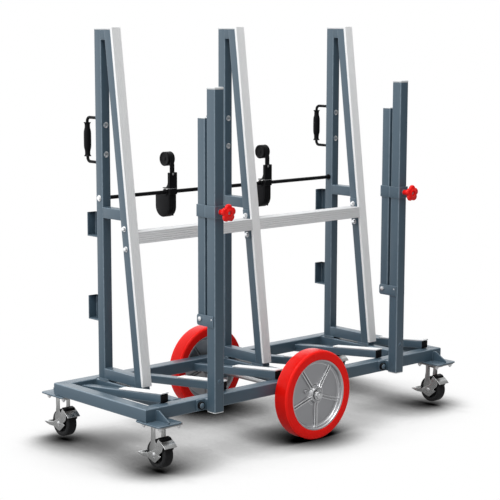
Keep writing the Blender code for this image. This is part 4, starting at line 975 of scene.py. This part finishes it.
hook_places = [-0.276, 0.2015]
block_front, web_front = 0.163, 0.158
seat = rod_height + 0.0125
for number, x in enumerate(hook_places, start=1):
    collar = [(0.0074, x - 0.0215), (0.0125, x - 0.0215), (0.0125, x - 0.0178), (0.0095, x - 0.0178),
              (0.0095, x + 0.0178), (0.0125, x + 0.0178), (0.0125, x + 0.0215), (0.0074, x + 0.0215)]
    make(f"collar_{number}", [turned_soft(collar, "X", (rod_y, rod_height), 0.0008, 40, closed=True)], black_steel,
         f"hook_slider_{number}", (f"hook_collar_{number}",))
    sides = (x - 0.0175, x + 0.0175)
    drum = 0.0405
    centre = np.array([block_front + drum, 0.793 + drum])
    weight = np.concatenate([[(block_front, 0.8845), (0.244, 0.8845)], arc(centre, drum, 0, -180, 28)])
    parts = [carry(weight, "X", sides[0], sides[1], 0.0028, np.full(len(weight), 0.25), 4)]
    raised = centre + (weight - centre) * 0.86
    parts.append(carry(raised, "X", sides[0] - 0.0012, sides[1] + 0.0012, 0.0010, np.full(len(weight), 0.3), 3))
    parts.append(bar((x - 0.0022, x + 0.0022), (block_front - 0.0018, block_front + 0.003), (0.800, 0.878), "Z", 0.001))
    parts.append(bar((sides[0] + 0.0002, sides[1] - 0.0002), (web_front, rod_y - 0.0120), (0.8785, seat + 0.002), "X", 0.0015))
    parts.append(bar((sides[0] + 0.0005, sides[1] - 0.0005), (web_front, 0.2010), (seat + 0.0002, seat + 0.0040), "X", 0.0010))
    parts.append(bar((sides[0] + 0.0003, sides[1] - 0.0003), (web_front, web_front + 0.0035), (seat, 0.9590), "X", 0.0008))
    rear = web_front + 0.0135
    cheek = [(web_front, seat), (rear + 0.010, seat), (rear + 0.010, seat + 0.005), (rear + 0.003, seat + 0.014),
             (rear, seat + 0.022), (rear, 0.960), (web_front, 0.960)]
    cheek, sheen_and_wear = soften(cheek, np.array([0.001, 0.003, 0.004, 0.006, 0.006, 0.003, 0.002]), 5)
    for low in (sides[0], sides[1] - 0.0035):
        parts.append(carry(cheek, "X", low, low + 0.0035, 0.0008, sheen_and_wear))
    make(f"hook_body_{number}", parts, black_plastic, f"hook_{number}", (f"hook_block_{number}",))
    # The thin zinc strip along the seat stands in for the rod's highlight: a painted highlight. The dome is a rivet.
    bright = [bar((sides[0] - 0.0004, sides[1] + 0.0004), (web_front - 0.0004, 0.1760), (seat + 0.0008, seat + 0.0024),
                  "X", 0.0007, 0.0005), mushroom("Y", (x - 0.002, 0.9545), web_front, -1, 0.0046, 0.0022)]
    make(f"hook_rivet_and_highlight_strip_{number}", bright, zinc_steel, f"hook_{number}")
    pin = [(0, sides[0] - 0.0006), (0.0034, sides[0] - 0.0004), (0.0034, sides[1] + 0.0004), (0, sides[1] + 0.0006)]
    make(f"hook_pin_{number}", [turned_soft(pin, "X", (0.1664, 0.950), 0.0006, 28)], black_steel, f"hook_{number}")

    head = (0.194, 1.0085)
    strap = np.concatenate([[(0.1626, 0.985), (0.1640, 0.995)], arc(head, 0.0262, 172, -148, 40),
                            [(0.1702, 0.986)], arc((0.1664, 0.950), 0.0038, 0, -180, 12)])
    parts = [carry(strap, "X", x - 0.0092, x + 0.0092, 0.0014, np.full(len(strap), 0.35), 4)]
    rim = [(0, x - 0.0138), (0.0185, x - 0.0138), (0.0205, x - 0.0164), (0.0250, x - 0.0164), (0.0265, x - 0.0150),
           (0.0265, x - 0.0128), (0.0238, x - 0.0112), (0.0238, x + 0.0112), (0.0265, x + 0.0128),
           (0.0265, x + 0.0150), (0.0250, x + 0.0164), (0.0205, x + 0.0164), (0.0185, x + 0.0138), (0, x + 0.0138)]
    parts.append(turned_soft(rim, "X", head, 0.0009, 56))
    cap = [(0, x - 0.0156), (0.0060, x - 0.0156), (0.0070, x - 0.0136), (0, x - 0.0136)]
    parts.append(turned_soft(cap, "X", head, 0.0006, 32))
    make(f"lever_arm_{number}", parts, black_plastic, f"lever_{number}", (f"hook_lever_{number}",))

# %% [markdown]
# A side post stands off the front rail on a spacer. A channel on it holds the pivot of the upper
# arm, a second tube that tilts. A clamp saddle slides on the post and its strap holds the arm, and
# a red star knob pulls it tight.

# %% Side posts and swinging arms
post_places = {"left": -0.478, "right": 0.437}
side_back = -half_width - 0.022
side_front = side_back - 0.042
swing_front = side_back + 0.012
swing_back = swing_front + 0.038
pivot_y = (swing_front + swing_back) / 2
pivot_z = 0.503
post_caps = []
for label, x in post_places.items():
    parts = [bar((x - 0.021, x + 0.021), (side_front, side_back), (rail_low + 0.0028, 1.2852), "Z")]
    parts.append(bar((x - 0.052, x + 0.052), (-0.2703, -0.2653), (0.1825, 0.2225), "Y", 0.004, 0.0009))
    parts.append(bar((x - 0.015, x + 0.015), (side_back - 0.002, -0.2690), (0.1825, 0.2225), "Y", 0.003, 0.0006))
    parts.append(mushroom("Y", (x, 0.2900), side_front, -1, 0.0085, 0.0038))
    for side in (-1, 1):
        end = x + side * 0.015
        parts.append(bead((end, -0.2706, 0.186), (end, -0.2706, 0.219), 0.0020))
        parts.append(bead((end, side_back + 0.0004, 0.186), (end, side_back + 0.0004, 0.219), 0.0020))
    front, rear = side_front + 0.005, side_back + 0.048
    ear, sheen_and_wear = soften([(front, 0.480), (rear, 0.480), (rear, 0.519), (front, 0.519)],
                       np.array([0.002, 0.010, 0.010, 0.002]), 6)
    for low in (x - 0.025, x + 0.0208):
        parts.append(carry(ear, "X", low, low + 0.0042, 0.0008, sheen_and_wear))
    for side in (-1, 1):
        end = x + side * 0.0213
        parts.append(bead((end, front + 0.002, 0.4800), (end, side_back - 0.003, 0.4800), 0.0015))
    make(f"post_tube_{label}", parts, frame_paint, stands_for=(f"side_post_{label}",))
    cap = bar((x - 0.0215, x + 0.0215), (side_front - 0.0005, side_back + 0.0005), (1.2850, 1.2930), "Z", 0.004, 0.0022)
    sole = bar((x - 0.0208, x + 0.0208), (side_front + 0.0002, side_back - 0.0002), (rail_low, rail_low + 0.0034),
               "Z", 0.004, 0.0008)
    post_caps += [cap, sole]
    hardware = []
    domes = []
    washers = []
    for side in (-1, 1):
        hardware.extend(bolt("X", (pivot_y, pivot_z), x + side * 0.025, side, 0.0150, 0.0038))
        hardware.append(mushroom("X", (side_front + 0.0145, pivot_z + 0.003), x + side * 0.0248, side, 0.0030, 0.0014))
        spot = (x + side * 0.0365, 0.2025)
        domes.append(mushroom("Y", spot, -0.2798, -1, 0.0098, 0.0072))
        washer = [(0, -0.2700), (0.0138, -0.2700), (0.0138, -0.2800), (0, -0.2800)]
        washers.append(turned_soft(washer, "Y", spot, 0.0010, 40))
    shaft = [(0, x - 0.0252), (0.0050, x - 0.0252), (0.0050, x + 0.0252), (0, x + 0.0252)]
    hardware.append(turned_soft(shaft, "X", (pivot_y, pivot_z), 0.0004, 24))
    make(f"post_bolts_{label}", hardware, bright_steel)
    make(f"post_domes_{label}", domes, frame_paint)
    make(f"post_washers_{label}", washers, black_steel)

    arm = [bar((x - 0.019, x + 0.019), (swing_front, swing_back), (pivot_z - 0.013, 1.1875), "Z")]
    low, high = 0.8545, 0.8965
    front, rear = side_back + 0.006 + 0.0008, swing_back + 0.003
    strap, sheen_and_wear = soften([(x - 0.023, front), (x - 0.023, rear), (x + 0.023, rear), (x + 0.023, front), (x + 0.0185, front),
                          (x + 0.0185, rear - 0.0042), (x - 0.0185, rear - 0.0042), (x - 0.0185, front)],
                         np.array([0.0008, 0.0045, 0.0045, 0.0008, 0.0008, 0.001, 0.001, 0.0008]), 5)
    arm.append(carry(strap, "Z", low, high, 0.0010, sheen_and_wear))
    for side in (-1, 1):
        for height in (low, high):
            end = x + side * 0.0192
            arm.append(bead((end, swing_front + 0.003, height), (end, swing_back - 0.003, height), 0.0014))
    make(f"swing_tube_{label}", arm, frame_paint, f"swing_{label}", (f"swing_arm_{label}",))
    arm_cap = bar((x - 0.0195, x + 0.0195), (swing_front - 0.0005, swing_back + 0.0005), (1.1865, 1.1905), "Z", 0.004, 0.0014)
    make(f"swing_cap_{label}", [arm_cap], pale_cap, f"swing_{label}")

    rear = side_back + 0.006 - 0.0007
    inner, outer = 0.0213, 0.0253
    saddle = [(x - inner + 0.008, rear), (x - outer, rear), (x - outer, side_front - 0.0043),
              (x + outer, side_front - 0.0043), (x + outer, rear), (x + inner - 0.008, rear),
              (x + inner - 0.008, side_back + 0.0004), (x + inner, side_back + 0.0004), (x + inner, side_front - 0.0003),
              (x - inner, side_front - 0.0003), (x - inner, side_back + 0.0004), (x - inner + 0.008, side_back + 0.0004)]
    rounds = np.array([0.0006, 0.003, 0.004, 0.004, 0.003, 0.0006, 0.0006, 0.0008, 0.0012, 0.0012, 0.0008, 0.0006])
    saddle, sheen_and_wear = soften(saddle, rounds, 4)
    nut_face = side_front - 0.0043
    ring = [(0.0060, nut_face + 0.001), (0.0115, nut_face + 0.001), (0.0115, nut_face - 0.0026), (0.0060, nut_face - 0.0026)]
    clamp = [carry(saddle, "Z", low, high, 0.0010, sheen_and_wear), turned_soft(ring, "Y", (x, 0.876), 0.0007, 36, closed=True)]
    make(f"clamp_{label}", clamp, frame_paint, f"clamp_{label}", (f"clamp_saddle_{label}",))
make("post_caps", post_caps, pale_cap)

# %% [markdown]
# The star knob is one surface of two parameters. Round the axis, the radius is 23 mm plus 8 mm
# times ((1 + cos 5 turn) / 2)^0.36, which gives five full lobes. From front to back a share swells
# the outline from the hub over a dome to the rim and back to the neck, and the lobes fade with it.

# %% Star knobs
def star_knob(x, z, face):
    """Point = axis + (r + share * 8 mm * lobe(turn)) (cos turn, sin turn), row by row from front to back."""
    turn = np.linspace(0, 2 * math.pi, 121)[:-1]
    lobes = ((1 + np.cos(5 * (turn - math.pi / 2))) / 2) ** 0.36
    rows = np.array([
        (0.0000, 0.0, 0.0036, 0), (0.0068, 0.0, 0.0034, 0), (0.0078, 0.0, 0.0016, 0), (0.0082, 0.0, -0.0032, 1),
        (0.0098, 0.0, -0.0040, 0.4), (0.0122, 0.0, -0.0038, 0), (0.0138, 0.0, -0.0022, 0), (0.0160, 0.35, -0.0008, 0),
        (0.0196, 0.80, 0.0002, 0), (0.0214, 0.95, 0.0016, 0.7), (0.0228, 1.0, 0.0042, 0.2), (0.0230, 1.0, 0.0066, 0),
        (0.0227, 1.0, 0.0092, 0.2), (0.0213, 0.95, 0.0114, 0.6), (0.0188, 0.70, 0.0126, 0), (0.0138, 0.25, 0.0136, 0),
        (0.0100, 0.0, 0.0162, 0), (0.0096, 0.0, 0.0470, 0), (0.0089, 0.0, 0.0479, 0.6), (0.0, 0.0, 0.0479, 0)])
    radius = rows[:, :1] + rows[:, 1:2] * 0.0080 * lobes[None]
    flat = np.stack([x + radius * np.cos(turn), z + radius * np.sin(turn)], -1)
    place = np.broadcast_to((face + rows[:, 2])[:, None, None], flat.shape[:2] + (1,))
    points = np.concatenate([flat, place], -1)[..., AXES["Y"]]
    return points.reshape(-1, 3), grid_faces(len(rows), len(turn)), np.repeat(rows[:, 3], len(turn))


knob_face = side_front - 0.0043 - 0.048
for label, x in post_places.items():
    make(f"knob_{label}", [star_knob(x, 0.876, knob_face)], red_plastic, f"knob_{label}", (f"star_knob_{label}",), crisp=50)
    stem = [(0, side_front - 0.0004), (0.0049, side_front - 0.0004), (0.0049, knob_face + 0.0440), (0, knob_face + 0.0440)]
    insert = [(0, knob_face + 0.0046), (0.0062, knob_face + 0.0046), (0.0062, knob_face + 0.0026), (0.0040, knob_face + 0.0012),
              (0, knob_face + 0.0012)]
    screw = [turned_soft(stem, "Y", (x, 0.876), 0.0005, 24), turned_soft(insert, "Y", (x, 0.876), 0.0004, 24)]
    make(f"knob_screw_{label}", screw, bright_steel, f"knob_{label}")

# %% [markdown]
# Each bow handle is a bent rod with a turned grip. The rod is a circle carried along a path with
# two round bends. The grip's profile flares to a collar at both ends and swells in the middle.

# %% Bow handles
grip_y = post_back + 0.072
wire_radius = 0.0055
rod_low, rod_high = 1.006 + wire_radius, 1.175 - wire_radius
bend = 0.015
lower = np.array([(post_back + 0.0008, rod_low), (grip_y - bend, rod_low)])
path = np.concatenate([np.linspace(lower[0], lower[1], 6), arc((grip_y - bend, rod_low + bend), bend, -90, 0, 10)[1:],
                       np.linspace((grip_y, rod_low + bend), (grip_y, rod_high - bend), 20)[1:],
                       arc((grip_y - bend, rod_high - bend), bend, 0, 90, 10)[1:],
                       np.linspace((grip_y - bend, rod_high), (post_back + 0.0008, rod_high), 6)[1:]])
low, high = 1.0297, 1.1513
share = np.linspace(0, 1, 81)
swell = 0.0096 + 0.0040 / (1 + np.exp((0.62 - np.sin(math.pi * share)) * 14))
flare = 0.0036 * (np.exp(-(share / 0.035) ** 2) + np.exp(-((1 - share) / 0.035) ** 2))
grip = np.stack([swell + flare, low + (high - low) * share], -1)
grip = np.concatenate([[(0.0, low), (0.0118, low - 0.0002)], grip, [(0.0118, high + 0.0002), (0.0, high)]])
for number, x in enumerate(frame_places, start=1):
    wire = np.concatenate([np.full((len(path), 1), x), path], 1)
    parts = [strand(wire, wire_radius - 0.0001, 18), turned(grip, "Z", (x, grip_y), 48)]
    for height in (rod_low, rod_high):
        foot = [(0.0050, post_back + 0.0002), (0.0088, post_back + 0.0002), (0.0088, post_back + 0.0022),
                (0.0050, post_back + 0.0022)]
        parts.append(turned_soft(foot, "Y", (x, height), 0.0005, 32, closed=True))
    make(f"handle_{number}", parts, black_plastic, stands_for=(f"bow_handle_{number}",))

# %% [markdown]
# The centre wheels stand on one axle. The tread is red polyurethane with soft shoulders, bonded
# to a cast rim. The rim is turned: a bright lip, a hollow flange, a recessed web and a hub. Five
# pairs of thin ribs, cast in one with it, run from the hub to the flange.

# %% Axle and centre wheels
axle_z = 0.165
wheel_face = 0.3325
half_wide = 0.0331
hub_face = wheel_face - 0.007
bush_end = wheel_face - 2 * half_wide - 0.0004
axle = [turned_soft([(0, -bush_end), (0.0125, -bush_end), (0.0125, bush_end), (0, bush_end)], "Y", (0, axle_z), 0.0010, 40)]
for side in (-1, 1):
    for radius, near, far in ((0.0100, 0.260, hub_face + 0.0040), (0.0180, hub_face + 0.0004, hub_face + 0.0033),
                              (0.0068, hub_face + 0.0100, hub_face + 0.0128)):
        profile = [(0, side * near), (radius, side * near), (radius, side * far), (0, side * far)]
        axle.append(turned_soft(profile, "Y", (0, axle_z), 0.0008, 48))
    axle.append(hexagon("Y", (0, axle_z), side * (hub_face + 0.0030), side * (hub_face + 0.0118), 0.0262, 60))
    bush = [(0.0124, side * 0.1960), (0.0185, side * 0.1960), (0.0185, side * bush_end), (0.0124, side * bush_end)]
    axle.append(turned_soft(bush, "Y", (0, axle_z), 0.0010, 40, closed=True))
make("axle_and_nuts", axle, bright_steel, stands_for=("wheel_axle",))

for label, side in (("front", -1), ("rear", 1)):
    middle = side * (wheel_face - half_wide)

    def placed(profile):
        return [(radius, middle + side * along) for radius, along in profile]

    tread = placed([(0.1312, -half_wide), (0.1592, -half_wide), (0.1646, -half_wide + 0.0054),
                    (0.1646, half_wide - 0.0054), (0.1592, half_wide), (0.1312, half_wide),
                    (0.1302, half_wide - 0.004), (0.1302, -half_wide + 0.004)])
    make(f"tread_{label}", [turned_soft(tread, "Y", (0, axle_z), 0.0026, 144, closed=True)], red_side, f"wheel_{label}",
         (f"centre_wheel_{label}",))
    # The rolling face takes red_tread, a darker copy of the red: painted shade. The sides take red_side, a lighter
    # copy: painted light.
    rolling = placed([(0.1630, -half_wide + 0.0066), (0.1650, -half_wide + 0.0080), (0.1650, half_wide - 0.0080),
                      (0.1630, half_wide - 0.0066)])
    make(f"rolling_skin_{label}", [turned_soft(rolling, "Y", (0, axle_z), 0.0008, 144, closed=True)], red_tread,
         f"wheel_{label}")
    cast = placed([(0.0104, -0.0322), (0.0250, -0.0322), (0.0270, -0.0060), (0.1090, -0.0050), (0.1190, -0.0100),
                   (0.1235, -0.0305), (0.1308, -0.0322), (0.1308, 0.0322), (0.1266, 0.0322), (0.1236, 0.0290),
                   (0.1208, 0.0165), (0.1150, 0.0122), (0.0400, 0.0116), (0.0330, 0.0126), (0.0292, 0.0190),
                   (0.0270, 0.0246), (0.0225, 0.0256), (0.0205, 0.0240), (0.0104, 0.0240)])
    parts = [turned_soft(cast, "Y", (0, axle_z), 0.0020, 144, closed=True)]
    # The crests take cast_ridge, a brighter copy of the cast metal: a painted highlight along the ribs.
    crests = []
    for pair in range(5):
        turn = math.pi / 2 + 2 * math.pi * (pair + 0.5) / 5
        out = np.array([math.cos(turn), math.sin(turn)])
        across = np.array([-math.sin(turn), math.cos(turn)])
        for offset in (-0.0050, 0.0050):
            reach = np.linspace(0.0240, 0.1230, 40)
            height = 0.0168 + 0.0050 * np.exp(-((reach - 0.0240) / 0.010) ** 2)
            line = out[None] * reach[:, None] + across[None] * offset
            crest = np.stack([line[:, 0], middle + side * height, axle_z + line[:, 1]], -1)
            crests.append(strand(crest, 0.0024, 12))
            for face, low, high in ((1, 0.008, 0.0162), (-1, 0.002, 0.0125)):
                ridge = np.array([(0.0255, low), (0.1220, low), (0.1220, high - 0.0030), (0.1160, high),
                                  (0.0330, high + 0.0004), (0.0255, high)])
                outline, sheen_and_wear = soften(ridge, 0.0010, 2)
                rib = carry(outline, "X", -0.0015, 0.0015, 0.0012, sheen_and_wear)
                local = rib[0]
                spread = local[:, 0] * (1.30 - (local[:, 2] - low) / (high - low) * 0.30) + offset
                flat = out[None] * local[:, 1:2] + across[None] * spread[:, None]
                points = np.stack([flat[:, 0], middle + side * face * local[:, 2], axle_z + flat[:, 1]], -1)
                parts.append((points, rib[1], rib[2]))
    boss = placed([(0.0, 0.002), (0.0090, 0.002), (0.0078, 0.0205), (0.0030, 0.0210), (0.0026, 0.0170), (0.0, 0.0170)])
    parts.append(turned_soft(boss, "Y", (-0.0490, axle_z + 0.0180), 0.0010, 32))
    make(f"rim_{label}", parts, cast_aluminium, f"wheel_{label}", (f"centre_wheel_{label}",))
    make(f"rib_crests_{label}", crests, cast_ridge, f"wheel_{label}")
print("pieces", len(made), "triangles", sum(len(p.loops) - 2 * len(p.polygons) for p in (o.data for o in made)))

# %% [markdown]
# The stage is a plain pale floor under soft light. The camera sees white paper that darkens only
# where the cart hides the sky from it: its brightness is the open share of the sky to a power.
# Other rays see a grey floor, and mirrors see it fade from bright behind to dark in front.

# %% Floor
size = 40.0
floor_mesh = bpy.data.meshes.new("floor")
corners = np.array([(-size, -size, 0), (size, -size, 0), (size, size, 0), (-size, size, 0)], float)
floor_mesh.from_pydata(corners, [], [(0, 1, 2, 3)])
floor = bpy.data.objects.new("floor", floor_mesh)
bpy.context.scene.collection.objects.link(floor)
paper = bpy.data.materials.new("floor_paper")
paper.use_nodes = True
tree = paper.node_tree
tree.nodes.clear()
out = node(tree, "ShaderNodeOutputMaterial", (800, 0))
chalk = node(tree, "ShaderNodeBsdfDiffuse", (0, 100), Color=(0.36, 0.36, 0.36, 1.0))
open_sky = node(tree, "ShaderNodeAmbientOcclusion", (-700, -100), samples=24, Distance=0.45)
contact = node(tree, "ShaderNodeAmbientOcclusion", (-700, 150), samples=32, Distance=0.26)
touch = node(tree, "ShaderNodeMapRange", (-520, 150))
touch.inputs["From Min"].default_value = 0.38
touch.inputs["From Max"].default_value = 0.90
tree.links.new(contact.outputs["AO"], touch.inputs["Value"])
close_shade = maths(tree, "POWER", (-380, 150), touch.outputs["Result"], 2.3)
open_share = node(tree, "ShaderNodeMapRange", (-520, -100))
open_share.inputs["From Min"].default_value = 0.20
open_share.inputs["From Max"].default_value = 0.90
tree.links.new(open_sky.outputs["AO"], open_share.inputs["Value"])
broad_shade = maths(tree, "POWER", (-380, -100), open_share.outputs["Result"], 1.15)
shade = maths(tree, "MULTIPLY", (-300, 0), broad_shade, close_shade)
place = node(tree, "ShaderNodeTexCoord", (-1100, -400)).outputs["Object"]
reach = node(tree, "ShaderNodeVectorMath", (-900, -400), operation="LENGTH")
tree.links.new(place, reach.inputs[0])
far = node(tree, "ShaderNodeMapRange", (-650, -400), interpolation_type="SMOOTHSTEP")
far.inputs["From Min"].default_value = 1.2
far.inputs["From Max"].default_value = 4.0
tree.links.new(reach.outputs["Value"], far.inputs["Value"])
level = maths(tree, "MAXIMUM", (-250, -200), shade, far.outputs["Result"])
seen_paper = node(tree, "ShaderNodeEmission", (0, -100), Color=(1.0, 1.0, 1.0, 1.0))
tree.links.new(level, seen_paper.inputs["Strength"])
toward = node(tree, "ShaderNodeVectorMath", (-900, -650), operation="NORMALIZE")
tree.links.new(place, toward.inputs[0])
behind = node(tree, "ShaderNodeVectorMath", (-700, -650), operation="DOT_PRODUCT")
tree.links.new(toward.outputs[0], behind.inputs[0])
behind.inputs[1].default_value = (-0.7071, 0.7071, 0.0)
fade = node(tree, "ShaderNodeMapRange", (-450, -650), interpolation_type="SMOOTHSTEP")
fade.inputs["From Min"].default_value = -1.0
fade.inputs["From Max"].default_value = 0.8
fade.inputs["To Min"].default_value = 0.10
fade.inputs["To Max"].default_value = 1.40
tree.links.new(behind.outputs["Value"], fade.inputs["Value"])
distant = node(tree, "ShaderNodeMapRange", (-450, -900), interpolation_type="SMOOTHSTEP")
distant.inputs["From Min"].default_value = 1.2
distant.inputs["From Max"].default_value = 4.5
tree.links.new(reach.outputs["Value"], distant.inputs["Value"])
above_near = maths(tree, "SUBTRACT", (-250, -650), fade.outputs["Result"], 0.45)
lift = maths(tree, "MULTIPLY", (-150, -700), above_near, distant.outputs["Result"])
mirrored = node(tree, "ShaderNodeEmission", (0, -300), Color=(0.97, 0.98, 1.0, 1.0))
glow = maths(tree, "ADD", (-80, -600), lift, 0.47)
tree.links.new(maths(tree, "MULTIPLY", (0, -500), glow, broad_shade), mirrored.inputs["Strength"])
ray = node(tree, "ShaderNodeLightPath", (0, 400))
first = node(tree, "ShaderNodeMixShader", (300, 0))
tree.links.new(ray.outputs["Is Glossy Ray"], first.inputs[0])
tree.links.new(chalk.outputs[0], first.inputs[1])
tree.links.new(mirrored.outputs[0], first.inputs[2])
choice = node(tree, "ShaderNodeMixShader", (550, 0))
tree.links.new(ray.outputs["Is Camera Ray"], choice.inputs[0])
tree.links.new(first.outputs[0], choice.inputs[1])
tree.links.new(seen_paper.outputs[0], choice.inputs[2])
tree.links.new(choice.outputs[0], out.inputs[0])
floor_mesh.materials.append(paper)
floor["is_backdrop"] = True

# %% [markdown]
# The sky of the studio does most of the lighting. It is the sum of an even part, an overhead
# softbox that grows with height, a softbox on the left and a white backdrop behind; towards the
# front right it darkens, like a studio that is dark behind the photographer. One soft sun from
# above left adds direction. It is wide, so its shadows have no edge.

# %% Sky and sun
world = bpy.data.worlds.new("studio")
bpy.context.scene.world = world
world.use_nodes = True
tree = world.node_tree
tree.nodes.clear()
out = node(tree, "ShaderNodeOutputWorld", (700, 0))
soft = node(tree, "ShaderNodeBackground", (0, 0), Color=(0.97, 0.985, 1.0, 1.0))
direction = node(tree, "ShaderNodeTexCoord", (-1400, 0)).outputs["Generated"]


def lobe(aim, power, strength, height):
    """Strength times the positive part of direction dot aim, to a power."""
    along = node(tree, "ShaderNodeVectorMath", (-1100, height), operation="DOT_PRODUCT")
    tree.links.new(direction, along.inputs[0])
    along.inputs[1].default_value = aim
    positive = maths(tree, "MAXIMUM", (-900, height), along.outputs["Value"], 0.0)
    return maths(tree, "MULTIPLY", (-550, height), maths(tree, "POWER", (-720, height), positive, power), strength)


left_box = lobe((-0.93, 0.37, 0.0), 1.4, 1.25, 200)
overhead = lobe((0.0, 0.0, 1.0), 1.5, 1.12, 0)
backdrop = lobe((0.55, 0.83, 0.0), 2.0, 1.20, -200)
dark_side = maths(tree, "SUBTRACT", (-350, -400), 1.0, lobe((0.7071, -0.7071, 0.0), 1.0, 0.56, -400))
boxes = maths(tree, "ADD", (-350, 100), maths(tree, "ADD", (-450, 100), left_box, overhead), backdrop)
total = maths(tree, "ADD", (-250, 100), boxes, 0.20)
tree.links.new(maths(tree, "MULTIPLY", (-150, 0), total, dark_side), soft.inputs["Strength"])
white = node(tree, "ShaderNodeBackground", (0, -200), Color=(1.0, 1.0, 1.0, 1.0), Strength=1.0)
ray = node(tree, "ShaderNodeLightPath", (-100, 300))
choice = node(tree, "ShaderNodeMixShader", (400, 0))
tree.links.new(ray.outputs["Is Camera Ray"], choice.inputs[0])
tree.links.new(soft.outputs[0], choice.inputs[1])
tree.links.new(white.outputs[0], choice.inputs[2])
tree.links.new(choice.outputs[0], out.inputs[0])
sun = bpy.data.lights.new("soft_sun", "SUN")
sun.energy = 1.3
sun.angle = math.radians(32)
sun_object = bpy.data.objects.new("soft_sun", sun)
bpy.context.scene.collection.objects.link(sun_object)
sun_object.rotation_euler = (math.radians(8), math.radians(-24), 0.0)

# %% [markdown]
# The camera stands where the photographer stood: the place, aim, lens and a small upward shift
# come from the perspective of the photograph's own edges.

# %% Camera
view = bpy.data.cameras.new("camera")
camera = bpy.data.objects.new("camera", view)
bpy.context.scene.collection.objects.link(camera)
yaw, pitch, roll = (math.radians(v) for v in (-42.29, -9.38, 0.12))
ahead = np.array([-math.sin(yaw) * math.cos(pitch), math.cos(yaw) * math.cos(pitch), math.sin(pitch)])
right = np.cross(ahead, [0.0, 0.0, 1.0])
right /= np.linalg.norm(right)
up = np.cross(right, ahead)
right, up = math.cos(roll) * right + math.sin(roll) * up, -math.sin(roll) * right + math.cos(roll) * up
stand = (-3.8695, -4.2112 + shift, 1.5136)
camera.matrix_world = Matrix([[right[i], up[i], -ahead[i], stand[i]] for i in range(3)] + [[0, 0, 0, 1]])
view.sensor_width = 36.0
view.lens = 1542.5 / 500 * 36.0
view.shift_y = 24.7 / 500
bpy.context.scene.camera = camera
bpy.context.scene.view_settings.view_transform = "Standard"

# %% [markdown]
# Last, the box of the dressed cart is printed.

# %% Sizes and finish
low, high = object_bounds()
print("visual box", [round(v, 4) for v in low], [round(v, 4) for v in high])
